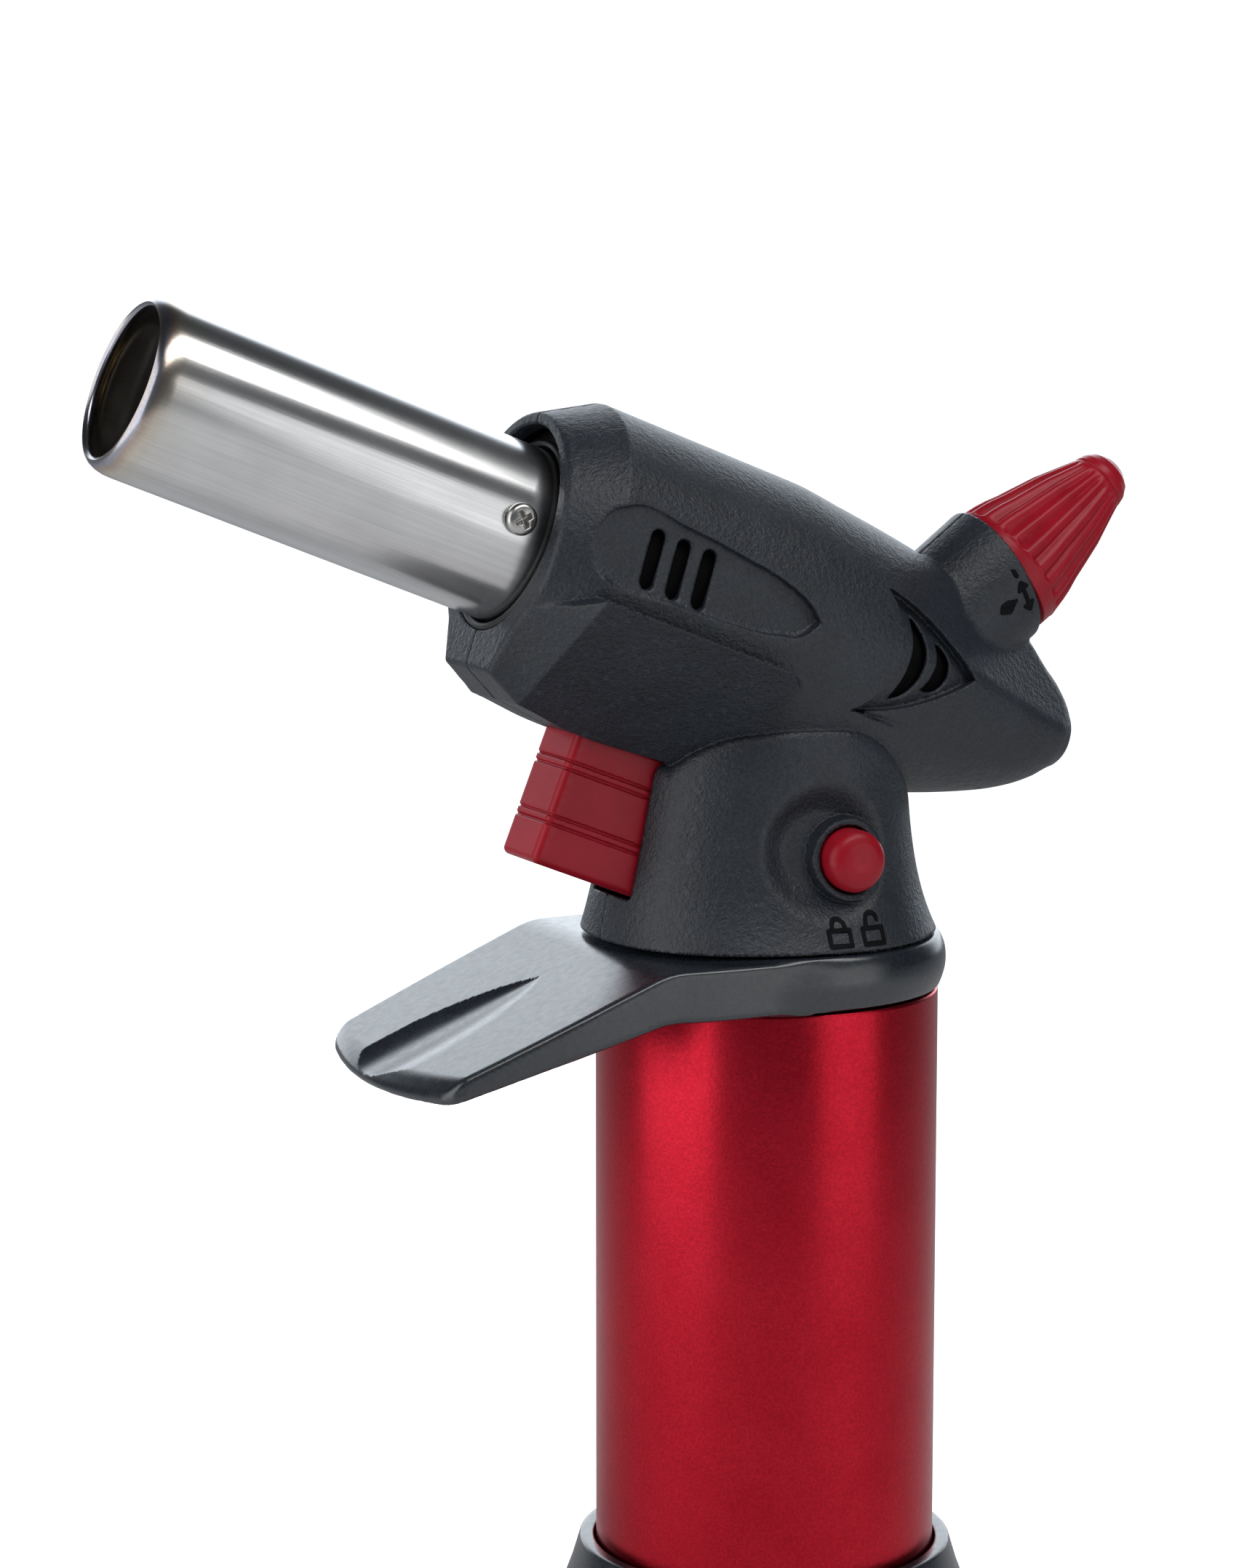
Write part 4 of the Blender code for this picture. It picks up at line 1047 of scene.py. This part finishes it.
def make_springs():
    """Coil springs swept in the places of their CAD nodes, riding on the handle."""
    for node, joint, heading, length, radius, wire, turns, travel in SPRINGS:
        low, high = (Vector(corner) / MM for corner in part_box(node))
        middle = (low + high) / 2 - Vector((TANK_X, 0, SEAM_Z))
        forward = Vector(heading).normalized()
        side = Vector((1, 0, 0)) if abs(forward.y) > 0.5 else Vector((0, 1, 0))
        across = forward.cross(side)
        points, steps = [], turns * COIL_STEPS
        for k in range(-1, steps + 2):
            share = min(max(k / steps, 0), 1)
            thick = wire if 0 <= k <= steps else 0.01
            turn = 2 * math.pi * turns * share
            spoke = math.cos(turn) * side + math.sin(turn) * across
            centre = middle + forward * (length * (share - 0.5)) + radius * spoke
            points += [centre + thick * (math.cos(b) * spoke + math.sin(b) * forward)
                       for b in (2 * math.pi * j / WIRE_SIDES for j in range(WIRE_SIDES))]
        piece = add_mesh(node + "_coil", [tuple(p) for p in points], grid_faces(steps + 3, WIRE_SIDES),
                         "spring_steel", "handle", (node,))
        face_outward(piece)
        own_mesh(piece)


MARK_HIGH, PEN = 0.14, 0.30
MINUS, PLUS = [[(2.0, -1.6), (3.3, -1.6)]], [[(-4.1, -1.6), (-5.3, -1.6)], [(-4.7, -1.0), (-4.7, -2.2)]]
TWO_WAY_ARROW = [[(0.9, -1.6), (-3.1, -1.6)], [(0.1, -1.0), (0.9, -1.6), (0.1, -2.2)],
                 [(-2.3, -1.0), (-3.1, -1.6), (-2.3, -2.2)]]
FLAME = (([(-0.6, -5.2), (-0.6, -4.7)], 0.95), ([(-0.6, -4.7), (-0.6, -3.9)], 0.55),
         ([(-0.6, -3.9), (-0.6, -3.2)], 0.25))


def stroke(points, half):
    """Distance to a pen line through 2-D points."""
    def distance(u, v):
        best = np.full(np.shape(u), 99.0)
        for (u0, v0), (u1, v1) in zip(points, points[1:]):
            du, dv = u1 - u0, v1 - v0
            part = np.clip(((u - u0) * du + (v - v0) * dv) / (du * du + dv * dv), 0, 1)
            best = np.minimum(best, np.hypot(u - u0 - part * du, v - v0 - part * dv))
        return best - half
    return distance


def half_circle(u, v, radius, steps=14):
    """Points over the top of a circle, from its left to its right."""
    angles = [math.radians(180 - 180 * k / steps) for k in range(steps + 1)]
    return [(u + radius * math.cos(a), v + radius * math.sin(a)) for a in angles]


def padlock(u, lift):
    """Strokes of a padlock; when its shackle is lifted, one leg of it is left out, for unlocked."""
    half, foot, top, bow = 1.5, 1.1, 3.0, 0.9
    body = [(u - half, foot), (u + half, foot), (u + half, top), (u - half, top), (u - half, foot)]
    shackle = [(u - bow, top)] + half_circle(u, 3.5 + lift, bow) + ([] if lift else [(u + bow, top)])
    return [stroke(body, PEN), stroke(shackle, PEN)]


def make_marks():
    """Thin signs on the shell: a locked and an unlocked padlock; less, both ways, more and a flame. Their
    near-black is painted shade, for the shade inside engraved strokes.
    """
    locks = padlock(-0.4, 0.0) + padlock(4.6, 0.5)

    def lock_field(x, y, z):
        lines = np.minimum.reduce([line(x, z) for line in locks])
        return deepest(np.abs(outer_field(x, y, z, -1)) - MARK_HIGH, lines, y + 5)

    net_piece("lock_signs", lock_field, (-2.6, -23.5, 0.4), (7.0, -16.0, 5.6), MARK_CELL, "collar_black",
              "handle", material=MATERIALS["mark"])

    collar_lines = ([stroke(points, PEN) for points in TWO_WAY_ARROW + MINUS + PLUS]
                    + [stroke(points, half) for points, half in FLAME])

    def collar_marks(x, y, z):
        along, up = to_knob(x, z)
        lines = np.minimum.reduce([line(up, below_face(along, up)) for line in collar_lines])
        return deepest(np.abs(outer_field(x, y, z, -1)) - MARK_HIGH, lines, y + 4)

    corners = [knob_point(s, up, 0) for s in (-8.5, 0.5) for up in (-6.0, 4.0)]
    low = np.min(corners, axis=0) - 0.3
    high = np.max(corners, axis=0) + 0.3
    low[1], high[1] = -10.2, -6.5
    net_piece("knob_signs", collar_marks, low, high, MARK_CELL, "collar_black", "handle",
              material=MATERIALS["mark"])


# ---------------------------------------------------------------- set
def stand(name, data, location, back):
    """Links a camera or lamp that stands at a place and looks away from back."""
    placed = bpy.data.objects.new(name, data)
    bpy.context.scene.collection.objects.link(placed)
    placed.location = location
    placed.rotation_mode = "QUATERNION"
    placed.rotation_quaternion = (-back).to_track_quat("-Z", "Y")
    return placed


def bearing(azimuth, elevation):
    """Unit vector from the torch, in degrees: azimuth 0 is in front (-Y), 90 at +X."""
    a, e = math.radians(azimuth), math.radians(elevation)
    return Vector((math.sin(a) * math.cos(e), -math.cos(a) * math.cos(e), math.sin(e)))


def make_camera():
    camera = stand("camera", bpy.data.cameras.new("camera"), Vector(CAMERA_MM) * MM,
                   bearing(CAMERA_YAW, CAMERA_TILT))
    camera.data.lens, camera.data.sensor_width = CAMERA_LENS, CAMERA_SENSOR
    camera.data.clip_start, camera.data.clip_end = 0.01, 50
    bpy.context.scene.camera = camera


def softbox(name, azimuth, elevation, distance, width, height, radiance):
    """An area light aimed at the torch, in metres."""
    light = bpy.data.lights.new(name, "AREA")
    light.shape, light.size, light.size_y = "RECTANGLE", width, height
    light.energy = radiance * math.pi * width * height
    out = bearing(azimuth, elevation)
    stand(name, light, Vector(LIGHT_TARGET) + out * distance, out).visible_camera = False


def make_set():
    bpy.context.scene.view_settings.view_transform = "Standard"
    make_world()
    make_floor()
    softbox("side_left", -88, 14, 0.5, 0.56, 0.56, 1.7)
    softbox("side_right", 30, 6, 0.5, 0.36, 0.34, 1.0)
    softbox("key", 18, 58, 0.6, 0.62, 0.26, 3.6)


# radiance of the room from behind the torch (0) round to the camera's side (1)
ROOM_STOPS = ((0.0, 2.8), (0.09, 2.6), (0.15, 0.06), (0.45, 0.03), (0.8, 0.08), (1.0, 0.14))


def make_world():
    """White to the camera; for light and reflections a dim room with a bright wall behind the torch."""
    world = bpy.data.worlds.new("studio")
    bpy.context.scene.world = world
    world.use_nodes = True
    n = Nodes(world.node_tree)
    toward = n.node("ShaderNodeTexCoord", output="Generated")
    facing = n.vector("DOT_PRODUCT", toward, bearing(CAMERA_YAW, 0) / 2, "Value")
    stops = [(at, (0.86 * value, 0.93 * value, value)) for at, value in ROOM_STOPS]
    room = n.node("ShaderNodeBackground", {"Color": n.ramp(n.math("ADD", facing, 0.5), *stops)})
    backdrop = n.node("ShaderNodeBackground", {"Color": (1, 1, 1)})
    n.feed(n.tree.nodes["World Output"].inputs["Surface"], n.by_camera(room, backdrop))


FLOOR_REACH, FLOOR_GLOW = 4.0, 0.92


def make_floor():
    """A pale floor, clear from below. Its glow is for the camera only, and doesn't light the torch."""
    mesh = bpy.data.meshes.new("floor")
    corners = [(x * FLOOR_REACH, y * FLOOR_REACH, 0) for x, y in ((-1, -1), (1, -1), (1, 1), (-1, 1))]
    mesh.from_pydata(corners, [], [(0, 1, 2, 3)])
    floor = bpy.data.objects.new("floor", mesh)
    bpy.context.scene.collection.objects.link(floor)
    g = Graph("floor_paper", (0.8, 0.8, 0.8), 0.9, Specular_IOR_Level=0.1)
    g.colour(g.grey_ramp(g.noise(60.0, 3.0), (0.3, 0.78), (0.7, 0.82)))
    paper = g.shader.outputs[0]
    glow = g.node("ShaderNodeEmission", {"Strength": FLOOR_GLOW})
    glowing = g.by_camera(paper, g.node("ShaderNodeAddShader", {0: paper, 1: glow}))
    below = g.node("ShaderNodeNewGeometry", output="Backfacing")
    clear = g.node("ShaderNodeBsdfTransparent")
    surface = g.node("ShaderNodeMixShader", {0: below, 1: glowing, 2: clear})
    g.feed(g.tree.nodes["Material Output"].inputs["Surface"], surface)
    mesh.materials.append(g.material)
    floor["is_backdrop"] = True


def dress_cad():
    """Materials for the CAD nodes that stay, by their slot in the record."""
    record = frame["record"]
    slot_of = {part["node"]: part["material_slot"] for part in record["subparts"]}
    for name, node in frame["nodes"].items():
        material = MATERIALS.get(slot_of.get(name, ""), MATERIALS["screw_steel"])
        node.data.materials.clear()
        node.data.materials.append(material)


def write_sizes():
    boxes = {"cad": CAD_BOX, "visual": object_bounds()}
    {name: [list(corner) for corner in box] for name, box in boxes.items()}


make_camera()
make_set()
dress_cad()
make_shells()
make_shade_sheets()
make_screws()
make_guard()
make_trigger()
make_knob()
make_round_parts()
make_springs()
make_marks()
write_sizes()
